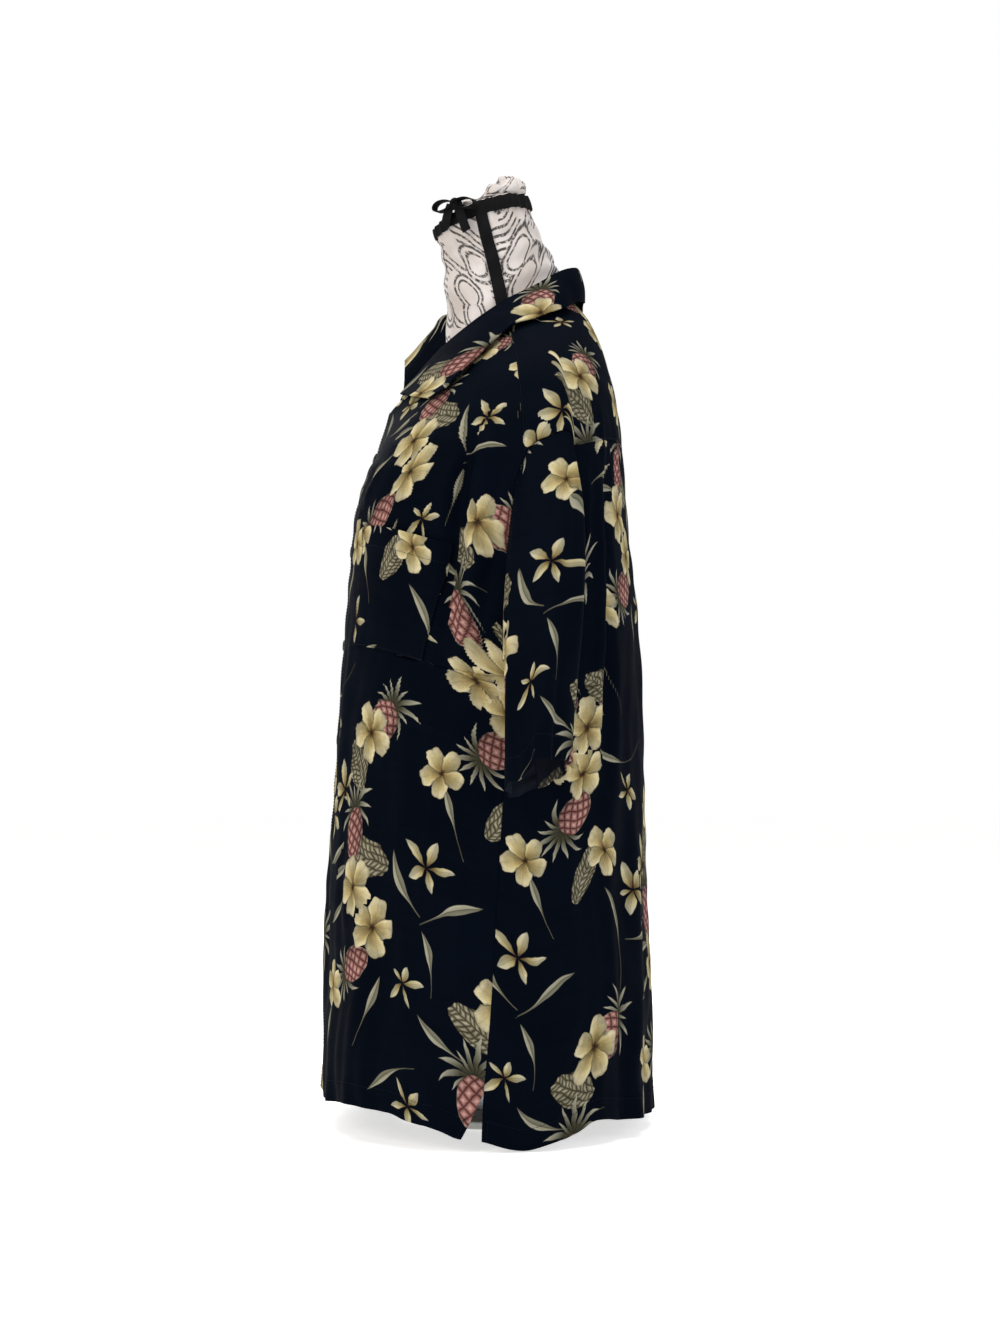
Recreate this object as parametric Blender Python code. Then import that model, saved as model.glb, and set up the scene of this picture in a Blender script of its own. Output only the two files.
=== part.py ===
"""Hawaiian shirt on a limbless dress form, as separate sewn pieces round a counter-top form.

Metres, +Z up. The form faces -Y and the wearer's left is +X. The origin is on the surface that
the stand's foot rests on, under the middle of the part. Angles round the body are in degrees from
the centre front, positive towards the wearer's left, with 180 at the centre back.
"""

import math
from typing import NamedTuple

import bmesh
import bpy
from mathutils import Vector
from mathutils.bvhtree import BVHTree

# Cloth
WALL = 0.0012  # thickness of the cloth wall
SEAM_GAP = 0.0003  # clear gap between two pieces that are sewn together
HEM_HEIGHT = 0.011  # the straight hem above the surface that the foot rests on
FRONT_EXTENSION = 0.016  # each front's edge past the centre front
LAP_FADE = 0.030  # width over which the right front drops under the left one
LAP_DEPTH = WALL + 0.0006  # how far the right front lies under the left one

# Places along the body: whole numbers are rows of BODY_ROWS, hem to neckline
UNDERARM = 4.30
ARMHOLE_TOP = 7.72
NECKLINE = 12.0
VENT_TOP = 0.46
SIDE_SEAM = 90.0
VENT_SPREAD = 4.2  # degrees that the front corner of a side vent swings forward
BACK_VENT_SPREAD = 0.4  # and its back corner, backward
LOWER_LEVELS = (0.0, 0.23, VENT_TOP, 1.0, 1.7, 2.4, 3.1, 3.7)  # grid rows under the armhole

# Armhole, round below and squarer above, in the side of the body
ARMHOLE_MIDDLE = 95.8
ARMHOLE_HALF = 13.8  # degrees from its middle to its front and its back edge
ARMHOLE_CORNER = 0.40  # how square its upper half is: 1 is an oval, 0 is a box
ARMHOLE_DRIFT_POWER = 2.5  # how late its lower half turns towards the side seam
ARMHOLE_MIDDLE_V = 0.5 * (UNDERARM + ARMHOLE_TOP)
ARMHOLE_HALF_V = 0.5 * (ARMHOLE_TOP - UNDERARM)
ARMHOLE_NODES = 20
YOKE_NODES = 2  # armhole nodes on each side of the top that belong to the yoke
YOKE_SEAM_AT_NECK = 92.0
YOKE_SEAM_BOW = 3.8  # degrees that the yoke's front seam bows forward

# Grid counts
FRONT_INNER_COLUMNS = 6  # from the front edge to the pocket
FRONT_MIDDLE_COLUMNS = 7  # across the pocket
FRONT_SIDE_COLUMNS = 5  # from the pocket to the side seam or the armhole
BACK_SIDE_COLUMNS = 4  # from each side edge to SIDE_ZONE_BACK
BACK_MIDDLE_COLUMNS = 22
SIDE_ZONE_BACK = 116.0
YOKE_ROWS = 5
SLEEVE_RINGS = 11

# Patch pocket on the left chest, on the left front's own grid
POCKET_INNER_ANGLE = 26.2
POCKET_OUTER_TOP = 65.1
POCKET_OUTER_LOW = 61.5
POCKET_HEIGHT = 1.7  # in rows of BODY_ROWS, up from the underarm
POCKET_ROWS = 6
GRAIN_RISE = 0.55  # how much higher the cloth's cross grain runs at the centre front, in rows
GRAIN_RISE_START = 1.5  # where that starts, over GRAIN_RISE_LENGTH rows
GRAIN_RISE_LENGTH = 4.5
GRAIN_RISE_END = 9.0  # and where it has ended, over GRAIN_FALL_LENGTH rows
GRAIN_FALL_LENGTH = 2.6

# Folds
FOLD_FADE_HIGH = 0.30  # share of a fold's length over which its upper end dies out
FOLD_FADE_LOW = 0.35
TROUGH_SHIFT = 1.15  # half widths from a fold's ridge to its trough

# Collar
COLLAR_ROLL = 0.0022  # radius of the fold at its crown
COLLAR_BULGE = 0.0020
COLLAR_STEPS = 16
COLLAR_SEAT = 0.0012  # the stand's lower edge over the neckline, which leaves a seam gap all round
COLLAR_HALF_STAND = 0.55  # share of the stand's height at which its line has half its lean
COLLAR_FALL_STEPS = (0.30, 0.62, 1.0)  # shares of the fall, from the roll to the collar's edge

# Buttons
BUTTON_RADIUS = 0.0057
BUTTON_THICKNESS = 0.0022
BUTTON_RIM = 0.0008
BUTTON_TOP = 0.671  # height of the first one above the hem
BUTTON_PITCH = 0.098
BUTTON_COUNT = 6
BUTTON_SIDES = 16

# Stand
FOOT_RADIUS = 0.090
FOOT_THICKNESS = 0.008
FOOT_RIM = 0.0015
FOOT_SIDES = 48
POST_RADIUS = 0.0125
POST_RIM = 0.0005
POST_SIDES = 24

# Tapes
TAPE_WIDTH = 0.011
TAPE_THICKNESS = 0.0010
TAPE_GAP = 0.0003

# Form
FORM_COLUMNS = 36
FORM_STEPS = 32
NECK_TOP = 16.0  # the last row of FORM_ROWS
TAPE_RING_LOW = 15.45
TAPE_RING_HIGH = 15.93
SIDE_TAPE_LOW = 12.75
SIDE_TAPE_GAP = 0.0006
SIDE_TAPE_STEPS = 8
SIDE_TAPE_HIGH = TAPE_RING_LOW - 0.06
SIDE_TAPE_ACROSS = (-1.0, -0.33, 0.33, 1.0)  # shares of half its width
BOW_ANGLE = 60.0
BOW_SIZE = (0.0130, 0.0050, 0.0085)
BOW_RISE = 0.0120
CAP_PROFILE = ((0.94, 0.0), (0.97, 0.0045), (0.88, 0.0120), (0.62, 0.0180), (0.30, 0.0215))
CAP_PLEATS = 5  # soft humps round the gathered top
CAP_PLEAT_SHARE = 0.10  # how much higher and lower they stand
CAP_PLEAT_TWIST = 8.0  # radians that they turn from the rim to the middle
CAP_FRONT_SHARE = 0.6  # the top's height at its front, as a share of CAP_PROFILE
CAP_BACK_SHARE = 1.3
CAP_DEPTH = 0.047  # its half length from front to back


class Row(NamedTuple):
    """One level ring: its heights over the hem, its reach and how square it is."""

    name: str
    z_front: float
    z_side: float
    z_back: float
    front: float
    back: float
    side: float
    side_y: float
    square: float


BODY_ROWS = (
    Row("hem", 0.000, 0.000, 0.000, 0.1690, 0.1670, 0.230, -0.008, 2.30),
    Row("hip", 0.110, 0.110, 0.110, 0.1680, 0.1660, 0.233, 0.002, 2.30),
    Row("high hip", 0.220, 0.220, 0.220, 0.1650, 0.1620, 0.234, 0.009, 2.30),
    Row("waist", 0.320, 0.320, 0.320, 0.1590, 0.1600, 0.232, 0.015, 2.30),
    Row("below underarm", 0.415, 0.405, 0.415, 0.1540, 0.1570, 0.228, 0.028, 2.25),
    Row("bust", 0.490, 0.478, 0.500, 0.1490, 0.1520, 0.225, 0.042, 2.20),
    Row("chest", 0.555, 0.545, 0.580, 0.1440, 0.1450, 0.224, 0.050, 2.20),
    Row("upper chest", 0.606, 0.612, 0.650, 0.1395, 0.1400, 0.223, 0.055, 2.20),
    Row("shoulder end", 0.643, 0.675, 0.706, 0.1300, 0.1350, 0.216, 0.055, 2.15),
    Row("shoulder", 0.668, 0.728, 0.752, 0.1190, 0.1265, 0.190, 0.048, 2.05),
    Row("mid shoulder", 0.687, 0.762, 0.787, 0.1130, 0.1170, 0.152, 0.038, 1.95),
    Row("by the neck", 0.702, 0.785, 0.815, 0.1085, 0.1050, 0.113, 0.026, 1.92),
    Row("neckline", 0.716, 0.803, 0.836, 0.1050, 0.0880, 0.078, 0.017, 2.00),
)

FORM_ROWS = (
    Row("underside edge", 0.165, 0.165, 0.165, 0.1000, 0.1080, 0.150, 0.004, 2.10),
    Row("seat", 0.178, 0.178, 0.178, 0.1100, 0.1180, 0.163, 0.004, 2.10),
    Row("hip", 0.230, 0.230, 0.230, 0.1160, 0.1230, 0.172, 0.004, 2.10),
    Row("belly", 0.310, 0.310, 0.310, 0.1090, 0.1120, 0.156, 0.006, 2.10),
    Row("waist", 0.385, 0.385, 0.385, 0.0980, 0.1000, 0.133, 0.010, 2.10),
    Row("ribs", 0.460, 0.460, 0.465, 0.1100, 0.1110, 0.144, 0.018, 2.10),
    Row("bust", 0.545, 0.540, 0.560, 0.1360, 0.1240, 0.160, 0.030, 2.15),
    Row("chest", 0.595, 0.605, 0.630, 0.1310, 0.1290, 0.172, 0.040, 2.20),
    Row("shoulder end", 0.632, 0.672, 0.700, 0.1190, 0.1270, 0.184, 0.047, 2.15),
    Row("shoulder", 0.655, 0.7240, 0.746, 0.1060, 0.1190, 0.1850, 0.048, 2.05),
    Row("mid shoulder", 0.672, 0.7597, 0.779, 0.0920, 0.1080, 0.1495, 0.038, 1.95),
    Row("by the neck", 0.695, 0.7812, 0.806, 0.0750, 0.0960, 0.1100, 0.026, 1.95),
    Row("neck base", 0.735, 0.8000, 0.838, 0.0530, 0.0810, 0.0680, 0.018, 2.00),
    Row("low neck", 0.795, 0.8300, 0.862, 0.0445, 0.0765, 0.0570, 0.012, 2.00),
    Row("neck", 0.855, 0.8700, 0.888, 0.0465, 0.0645, 0.0525, 0.003, 2.00),
    Row("high neck", 0.890, 0.9020, 0.918, 0.0510, 0.0480, 0.0505, -0.005, 2.00),
    Row("neck top", 0.916, 0.9330, 0.950, 0.0560, 0.0370, 0.0490, -0.011, 2.00),
)


class Fold(NamedTuple):
    """A long crease down the body: a ridge, with a trough on the side that trough_side names."""

    name: str
    angle_top: float
    angle_low: float
    top: float
    low: float
    half_width: float
    ridge: float
    trough: float
    trough_side: int


FOLDS = (
    Fold("left front fold", 74.0, 73.0, 8.60, 3.9, 5.5, 0.0060, 0.0110, -1),
    Fold("right front fold", -73.0, -74.5, 8.40, 3.6, 5.5, 0.0055, 0.0100, 1),
    Fold("left back pleat", 126.0, 123.0, 7.55, 2.6, 5.5, 0.0050, 0.0080, 1),
    Fold("right back pleat", -127.0, -125.0, 7.55, 2.9, 5.5, 0.0050, 0.0075, -1),
    Fold("left hip flute", 46.0, 44.0, 3.6, -1.6, 9.0, 0.0040, 0.0040, 1),
    Fold("right hip flute", -41.0, -46.0, 3.2, -1.6, 9.0, 0.0045, 0.0030, -1),
    Fold("left back flute", 148.0, 150.0, 3.4, -1.6, 8.0, 0.0035, 0.0035, -1),
    Fold("right back flute", -152.0, -149.0, 3.8, -1.6, 8.0, 0.0035, 0.0030, 1),
)


class HemPlace(NamedTuple):
    """How far the hem is raised at one angle."""

    angle: float
    lift: float


HEM_PLACES = (
    HemPlace(-180.0, 0.0060),
    HemPlace(-165.0, 0.0050),
    HemPlace(-145.0, 0.0090),
    HemPlace(-128.0, 0.0110),
    HemPlace(-114.0, -0.0010),
    HemPlace(-101.0, -0.0080),
    HemPlace(-88.0, 0.0010),
    HemPlace(-75.0, 0.0120),
    HemPlace(-61.0, 0.0195),
    HemPlace(-41.0, 0.0225),
    HemPlace(-20.0, 0.0205),
    HemPlace(0.0, 0.0215),
    HemPlace(20.0, 0.0195),
    HemPlace(42.0, 0.0250),
    HemPlace(60.0, 0.0225),
    HemPlace(74.0, 0.0135),
    HemPlace(86.0, 0.0020),
    HemPlace(101.0, -0.0095),
    HemPlace(113.0, -0.0010),
    HemPlace(127.0, 0.0140),
    HemPlace(143.0, 0.0080),
    HemPlace(163.0, 0.0055),
    HemPlace(180.0, 0.0060),
)
HEM_FADE = 2.4  # in rows of BODY_ROWS, how far up the cloth the raised hem is felt


class CollarStation(NamedTuple):
    """The collar across its width, at one angle of the neckline on each side."""

    name: str
    seam_angle: float
    edge_angle: float
    stand: float
    lean: float
    fall: float
    lift: float


COLLAR_STATIONS = (
    CollarStation("centre back", 180.0, 180.0, 0.0360, 0.0030, 0.35, 0.0085),
    CollarStation("back", 158.0, 148.0, 0.0330, 0.0028, 0.62, 0.0075),
    CollarStation("back curve", 136.0, 130.0, 0.0290, 0.0022, 0.90, 0.0070),
    CollarStation("behind shoulder", 114.0, 110.0, 0.0220, 0.0010, 1.08, 0.0065),
    CollarStation("shoulder", 92.0, 90.0, 0.0195, -0.0010, 1.12, 0.0060),
    CollarStation("before shoulder", 74.0, 74.0, 0.0215, -0.0030, 1.55, 0.0060),
    CollarStation("side front", 57.0, 64.0, 0.0200, -0.0045, 2.10, 0.0058),
    CollarStation("front", 41.0, 57.0, 0.0135, -0.0050, 2.35, 0.0055),
    CollarStation("point", 27.0, 51.5, 0.0100, -0.0045, 2.35, 0.0050),
)


class OpenLeaf(NamedTuple):
    """The right leaf, which stands open: its edge from its seam, and how far it is open."""

    name: str
    out: float
    forward: float
    up: float
    share: float


OPEN_LEAF = (
    OpenLeaf("centre back", 0.020, 0.000, 0.040, 0.00),
    OpenLeaf("back", 0.020, 0.000, 0.040, 0.00),
    OpenLeaf("back curve", 0.025, 0.000, 0.040, 0.00),
    OpenLeaf("behind shoulder", 0.045, 0.000, 0.030, 0.00),
    OpenLeaf("shoulder", 0.050, 0.010, 0.040, 0.55),
    OpenLeaf("before shoulder", 0.028, 0.028, 0.068, 1.00),
    OpenLeaf("side front", 0.030, 0.013, 0.074, 1.00),
    OpenLeaf("front", 0.042, 0.004, 0.072, 1.00),
    OpenLeaf("point", 0.055, 0.001, 0.067, 1.00),
)
OPEN_BEND_SHARE = 0.6  # height of the open leaf's bend, as a share of its whole height
OPEN_STEPS = (0.0, 0.20, 0.38, 0.46, 0.54, 0.70, 0.86, 1.0)  # shares of the open leaf's line

# Sleeve hem, an oval beside the body. Turn 0 is its outer fold, 90 the front and 180 the body side
CUFF_INNER = 0.2410
CUFF_OUTER = 0.3450
CUFF_FRONT = 0.0170
CUFF_BACK = 0.0745
CUFF_TUCK = 0.010  # how far the underarm cloth is pushed out into the sleeve

# Sleeve lines: how they leave the armhole, first at the underarm and then at the top, and arrive
SHOULDER_END_LEVEL = ARMHOLE_TOP - 0.2  # the sleeve's top leaves along the line between
SHOULDER_LEVEL = ARMHOLE_TOP + 0.8  # these two levels over the armhole's middle
SLEEVE_LEVEL = Vector((0.6, 0.0, 0.3))  # added to the body's normal where the cloth leaves level
SLEEVE_DROP = 0.85  # how far the top follows the shoulder down instead
SLEEVE_LEAVE = (0.070, 0.170)
SLEEVE_ARRIVE = (0.050, 0.260)
SLEEVE_END = Vector((0.30, 0.0, -1.0))  # the way the cloth hangs at the hem
SLEEVE_CROWDING = 1.25  # over 1, its rings stand closer at the armhole


class CuffPlace(NamedTuple):
    """The height of the sleeve's hem over the body's hem, at one turn round the oval."""

    turn: float
    height: float


CUFF_PLACES = (
    CuffPlace(-45.0, 0.350),
    CuffPlace(0.0, 0.351),
    CuffPlace(45.0, 0.331),
    CuffPlace(90.0, 0.320),
    CuffPlace(135.0, 0.317),
    CuffPlace(180.0, 0.325),
    CuffPlace(225.0, 0.334),
    CuffPlace(270.0, 0.346),
)

COLOURS = {
    "cloth": ((0.006, 0.010, 0.022), 0.60),
    "button": ((0.030, 0.028, 0.030), 0.35),
    "cover": ((0.560, 0.530, 0.500), 0.90),
    "tape": ((0.012, 0.012, 0.014), 0.80),
    "foot": ((0.750, 0.750, 0.740), 0.50),
    "steel": ((0.550, 0.560, 0.580), 0.35),
}


def clamp01(value):
    return max(0.0, min(1.0, value))


def ease(value):
    """0 to 1 with flat ends."""
    t = clamp01(value)
    return t * t * (3.0 - 2.0 * t)


def mix(a, b, t):
    return a + (b - a) * t


def bump(distance):
    """A soft hump of height 1 and half width 1."""
    d = abs(distance)
    return 0.5 + 0.5 * math.cos(math.pi * d) if d < 1.0 else 0.0


def column(rows, name, v):
    """One column of a table of rows, read smoothly between rows."""
    last = len(rows) - 1
    i = min(max(int(math.floor(v)), 0), last - 1)
    t = v - i
    p = [getattr(rows[min(max(k, 0), last)], name) for k in (i - 1, i, i + 1, i + 2)]
    slope_a = 0.5 * (p[2] - p[0])
    slope_b = 0.5 * (p[3] - p[1])
    t2 = t * t
    t3 = t2 * t
    return (
        (2 * t3 - 3 * t2 + 1) * p[1]
        + (t3 - 2 * t2 + t) * slope_a
        + (3 * t2 - 2 * t3) * p[2]
        + (t3 - t2) * slope_b
    )


def ring_point(rows, angle, v):
    """A point of the smooth body given by rows."""
    side_sign = 1.0 if angle >= 0 else -1.0
    turn = math.radians(min(abs(angle), 360.0 - abs(angle)))
    if abs(angle) > 180.0:
        side_sign = -side_sign
    power = 2.0 / column(rows, "square", v)
    across = abs(math.sin(turn)) ** power
    along = abs(math.cos(turn)) ** power
    side_y = column(rows, "side_y", v)
    z_side = column(rows, "z_side", v)
    if math.cos(turn) >= 0:
        y = side_y - (column(rows, "front", v) + side_y) * along
        z = z_side + (column(rows, "z_front", v) - z_side) * along
    else:
        y = side_y + (column(rows, "back", v) - side_y) * along
        z = z_side + (column(rows, "z_back", v) - z_side) * along
    return Vector((side_sign * column(rows, "side", v) * across, y, z + HEM_HEIGHT))


def surface_normal(point, angle, v, step_angle=0.25, step_v=0.02):
    """The outward normal of a surface given as point(angle, v)."""
    around = point(angle + step_angle, v) - point(angle - step_angle, v)
    up = point(angle, v + step_v) - point(angle, v - step_v)
    return around.cross(up).normalized()


def fold_push(angle, v):
    """How far the folds move the cloth out at a place, in metres."""
    total = 0.0
    for fold in FOLDS:
        t = (fold.top - v) / (fold.top - fold.low)
        if not 0.0 < t < 1.0:
            continue
        middle = mix(fold.angle_top, fold.angle_low, t)
        strength = ease(t / FOLD_FADE_HIGH) * ease((1.0 - t) / FOLD_FADE_LOW)
        across = (angle - middle) / fold.half_width
        total += strength * fold.ridge * bump(across)
        total -= strength * fold.trough * bump(across - TROUGH_SHIFT * fold.trough_side)
    return total


def hem_lift(angle, v):
    """How far the cloth is raised at a place near the hem, in metres."""
    for low, high in zip(HEM_PLACES, HEM_PLACES[1:]):
        if angle <= high.angle:
            break
    share = ease((angle - low.angle) / (high.angle - low.angle))
    return ease(1.0 - v / HEM_FADE) * mix(low.lift, high.lift, share)


def body_point(angle, v):
    """A point of the shirt's outer face, folds included."""
    if angle > 180.0:
        angle -= 360.0
    if angle < -180.0:
        angle += 360.0
    base = ring_point(BODY_ROWS, angle, v)
    plain = surface_normal(lambda a, h: ring_point(BODY_ROWS, a, h), angle, v)
    base += plain * fold_push(angle, v)
    base.z += hem_lift(angle, v)
    return base


def body_normal(angle, v):
    return surface_normal(body_point, angle, v)


def angle_at_width(x, v):
    """The angle at which the ring at v is x metres from the middle, at the front."""
    side = column(BODY_ROWS, "side", v)
    square = column(BODY_ROWS, "square", v)
    return math.degrees(math.asin((x / side) ** (square / 2.0)))


def armhole_node(k):
    """Angle and v of node k of the left armhole: 0 at the top, then down the front."""
    turn = 2.0 * math.pi * k / ARMHOLE_NODES
    v = ARMHOLE_MIDDLE_V + ARMHOLE_HALF_V * math.cos(turn)
    low_share = clamp01((ARMHOLE_MIDDLE_V - v) / ARMHOLE_HALF_V)
    drift = (SIDE_SEAM - ARMHOLE_MIDDLE) * low_share**ARMHOLE_DRIFT_POWER
    power = ARMHOLE_CORNER if v > ARMHOLE_MIDDLE_V else 1.0
    reach = math.copysign(abs(math.sin(turn)) ** power, math.sin(turn))
    return ARMHOLE_MIDDLE + drift - ARMHOLE_HALF * reach, v


def make_material(name, colour, roughness, metallic=0.0):
    material = bpy.data.materials.new(name)
    material.use_nodes = True
    shader = material.node_tree.nodes["Principled BSDF"]
    shader.inputs["Base Color"].default_value = (*colour, 1.0)
    shader.inputs["Roughness"].default_value = roughness
    shader.inputs["Metallic"].default_value = metallic
    return material


def dressed(obj, finish):
    """Gives an object a material of its own, in one of the named finishes."""
    colour, roughness = COLOURS[finish]
    metallic = 1.0 if finish == "steel" else 0.0
    obj.data.materials.clear()
    obj.data.materials.append(make_material(obj.name + "_finish", colour, roughness, metallic))
    return obj


def add_object(name, bm, collection, finish):
    """Makes a mesh object with faces shaded smooth."""
    bmesh.ops.recalc_face_normals(bm, faces=bm.faces)
    if bm.calc_volume(signed=True) < 0.0:
        bmesh.ops.reverse_faces(bm, faces=bm.faces)
    mesh = bpy.data.meshes.new(name)
    bm.to_mesh(mesh)
    bm.free()
    mesh.shade_smooth()
    mesh.set_sharp_from_angle(angle=math.radians(45))
    obj = bpy.data.objects.new(name, mesh)
    collection.objects.link(obj)
    return dressed(obj, finish)


def wall_between(outer, inner, closed_ring=False):
    """A closed wall between two grids of points, given as rows of columns."""
    bm = bmesh.new()
    skins = [[[bm.verts.new(p) for p in row] for row in grid] for grid in (outer, inner)]
    rows = len(outer)
    columns = len(outer[0])
    steps = columns if closed_ring else columns - 1
    for skin in skins:
        for i in range(rows - 1):
            for j in range(steps):
                k = (j + 1) % columns
                a, b, c, d = skin[i][j], skin[i][k], skin[i + 1][k], skin[i + 1][j]
                bm.faces.new((a, b, c))
                bm.faces.new((a, c, d))
    for i in (0, rows - 1):
        for j in range(steps):
            k = (j + 1) % columns
            bm.faces.new((skins[0][i][j], skins[0][i][k], skins[1][i][k], skins[1][i][j]))
    if not closed_ring:
        for j in (0, columns - 1):
            for i in range(rows - 1):
                bm.faces.new((skins[0][i][j], skins[0][i + 1][j], skins[1][i + 1][j], skins[1][i][j]))
    return bm


def drawn_in(grid, edges):
    """Moves the named outer edges of a grid in by half a seam gap."""
    half = 0.5 * SEAM_GAP
    rows = len(grid)
    columns = len(grid[0])
    moved = [[p.copy() for p in row] for row in grid]
    for i in range(rows):
        if "first column" in edges:
            moved[i][0] += (grid[i][1] - grid[i][0]).normalized() * half
        if "last column" in edges:
            moved[i][-1] += (grid[i][-2] - grid[i][-1]).normalized() * half
    for j in range(columns):
        if "first row" in edges:
            moved[0][j] += (grid[1][j] - grid[0][j]).normalized() * half
        if "last row" in edges:
            moved[-1][j] += (grid[-2][j] - grid[-1][j]).normalized() * half
    return moved


def panel(name, places, collection, edges, sink=None):
    """A body panel from a grid of (angle, v) places.

    sink gives how far under the outer face a place lies, for a lapped edge.
    """
    outer = []
    inner = []
    for row in places:
        outer_row = []
        inner_row = []
        for angle, v in row:
            normal = body_normal(angle, v)
            depth = sink(angle, v) if sink else 0.0
            point = body_point(angle, v) - normal * depth
            outer_row.append(point)
            inner_row.append(point - normal * WALL)
        outer.append(outer_row)
        inner.append(inner_row)
    bm = wall_between(drawn_in(outer, edges), drawn_in(inner, edges))
    return add_object(name, bm, collection, "cloth")


def vent_angle(v, swing):
    """The side seam's angle, with the vent's corner swung by swing degrees at the hem."""
    return SIDE_SEAM + swing * (1.0 - v / VENT_TOP) if v < VENT_TOP else SIDE_SEAM


def armhole_levels():
    """Levels of the armhole's nodes, from the underarm to the yoke."""
    half = ARMHOLE_NODES // 2
    return [(k, armhole_node(k)[1]) for k in range(half, YOKE_NODES - 1, -1)]


def yoke_levels(low):
    """Levels from a low edge to the neckline."""
    return [mix(low, NECKLINE, j / YOKE_ROWS) for j in range(YOKE_ROWS + 1)]


def yoke_bow(t):
    """How far the yoke's front seam bows forward at t of its length, in degrees."""
    return YOKE_SEAM_BOW * math.sin(math.pi * t)


def yoke_seam_angle(t):
    """The yoke's front seam, from the armhole at t = 0 to the neckline at t = 1."""
    return mix(armhole_node(YOKE_NODES)[0], YOKE_SEAM_AT_NECK, t) - yoke_bow(t)


def pocket_side_angle(v):
    """The column of the front's grid that the pocket's outer side follows."""
    return mix(POCKET_OUTER_LOW, POCKET_OUTER_TOP, ease((v - UNDERARM) / POCKET_HEIGHT))


def grain_rise(v):
    """How much higher a row of the front's grid runs at the centre front than at its side."""
    started = ease((v - GRAIN_RISE_START) / GRAIN_RISE_LENGTH)
    return GRAIN_RISE * started * ease((GRAIN_RISE_END - v) / GRAIN_FALL_LENGTH)


def stepped(stops, counts):
    """Evenly stepped values through stops, with counts steps between each two."""
    values = [stops[0]]
    for low, high, count in zip(stops, stops[1:], counts):
        values += [mix(low, high, i / count) for i in range(1, count + 1)]
    return values


def back_line(edge):
    """Angles across the back, from the wearer's left edge to the right."""
    stops = (edge, SIDE_ZONE_BACK, 360.0 - SIDE_ZONE_BACK, 360.0 - edge)
    return stepped(stops, (BACK_SIDE_COLUMNS, BACK_MIDDLE_COLUMNS, BACK_SIDE_COLUMNS))


def front_places(side):
    """The grid of one front: side is 1 for the wearer's left and -1 for the right."""
    rows = [(v, vent_angle(v, -VENT_SPREAD)) for v in LOWER_LEVELS]
    rows += [(v, armhole_node(k)[0]) for k, v in armhole_levels()]
    corner = armhole_node(YOKE_NODES)[1]
    above = yoke_levels(corner)[1:]
    rows += [(v, yoke_seam_angle((j + 1) / YOKE_ROWS)) for j, v in enumerate(above)]
    counts = (FRONT_INNER_COLUMNS, FRONT_MIDDLE_COLUMNS, FRONT_SIDE_COLUMNS)
    places = []
    for v, outer in rows:
        rise = grain_rise(v)
        inner = -angle_at_width(FRONT_EXTENSION, v + rise)
        line = stepped((inner, POCKET_INNER_ANGLE, pocket_side_angle(v), outer), counts)
        fall = outer - POCKET_INNER_ANGLE
        places.append([(side * a, v + rise * ease((outer - a) / fall)) for a in line])
    return places


def lap_sink(angle, v):
    """How far the right front lies under the left one near the centre front."""
    x = body_point(angle, v).x
    start = -FRONT_EXTENSION - LAP_FADE
    return LAP_DEPTH * ease((x - start) / LAP_FADE)


def back_places():
    """The grid of the back, from the wearer's left to the right."""
    rows = [(v, vent_angle(v, BACK_VENT_SPREAD)) for v in LOWER_LEVELS]
    nodes = armhole_levels()
    rows += [(v, armhole_node(-k)[0]) for k, v in nodes]
    places = []
    for v, edge in rows:
        places.append([(angle, v) for angle in back_line(edge)])
    return places


def yoke_places():
    """The grid of the yoke, from the left front seam over the back to the right one."""
    left = [armhole_node(k) for k in range(YOKE_NODES, -YOKE_NODES - 1, -1)]
    edge, low = left[-1]
    back = [(angle, low) for angle in back_line(edge)[1:-1]]
    right = [(360.0 - a, v) for a, v in reversed(left)]
    bottom = left + back + right
    first = bottom[0][0]
    last = bottom[-1][0]
    places = []
    for i in range(YOKE_ROWS + 1):
        t = i / YOKE_ROWS
        line = []
        for angle, low_v in bottom:
            share = (angle - first) / (last - first)
            at_neck = mix(YOKE_SEAM_AT_NECK, 360.0 - YOKE_SEAM_AT_NECK, share)
            bow = yoke_bow(t) * (1.0 - 2.0 * share)
            line.append((mix(angle, at_neck, t) - bow, mix(low_v, NECKLINE, t)))
        places.append(line)
    return places


def cuff_height(degrees):
    """The hem's height at a turn, read smoothly round CUFF_PLACES."""
    step = 360.0 / len(CUFF_PLACES)
    place = ((degrees - CUFF_PLACES[0].turn) % 360.0) / step
    i = int(place)
    heights = [CUFF_PLACES[(i + k) % len(CUFF_PLACES)].height for k in (0, 1)]
    return mix(heights[0], heights[1], ease(place - i))


def cuff_point(turn):
    """A point of the left sleeve's hem at a turn in radians."""
    middle_x = 0.5 * (CUFF_INNER + CUFF_OUTER)
    middle_y = 0.5 * (CUFF_FRONT + CUFF_BACK)
    x = middle_x + 0.5 * (CUFF_OUTER - CUFF_INNER) * math.cos(turn)
    x += CUFF_TUCK * bump((turn - math.pi) / (0.5 * math.pi))
    y = middle_y - 0.5 * (CUFF_BACK - CUFF_FRONT) * math.sin(turn)
    return Vector((x, y, cuff_height(math.degrees(turn)) + HEM_HEIGHT))


def armhole_edge(k, inset):
    """Node k of the armhole's edge at the cloth's inner face, moved in by inset, and its normal."""
    angle, v = armhole_node(k)
    normal = body_normal(angle, v)
    here = body_point(angle, v) - normal * WALL
    before = body_point(*armhole_node(k - 1))
    after = body_point(*armhole_node(k + 1))
    inward = normal.cross(after - before).normalized()
    middle = body_point(ARMHOLE_MIDDLE, ARMHOLE_MIDDLE_V)
    if inward.dot(middle - here) < 0:
        inward.negate()
    return here + inward * inset, normal


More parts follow.
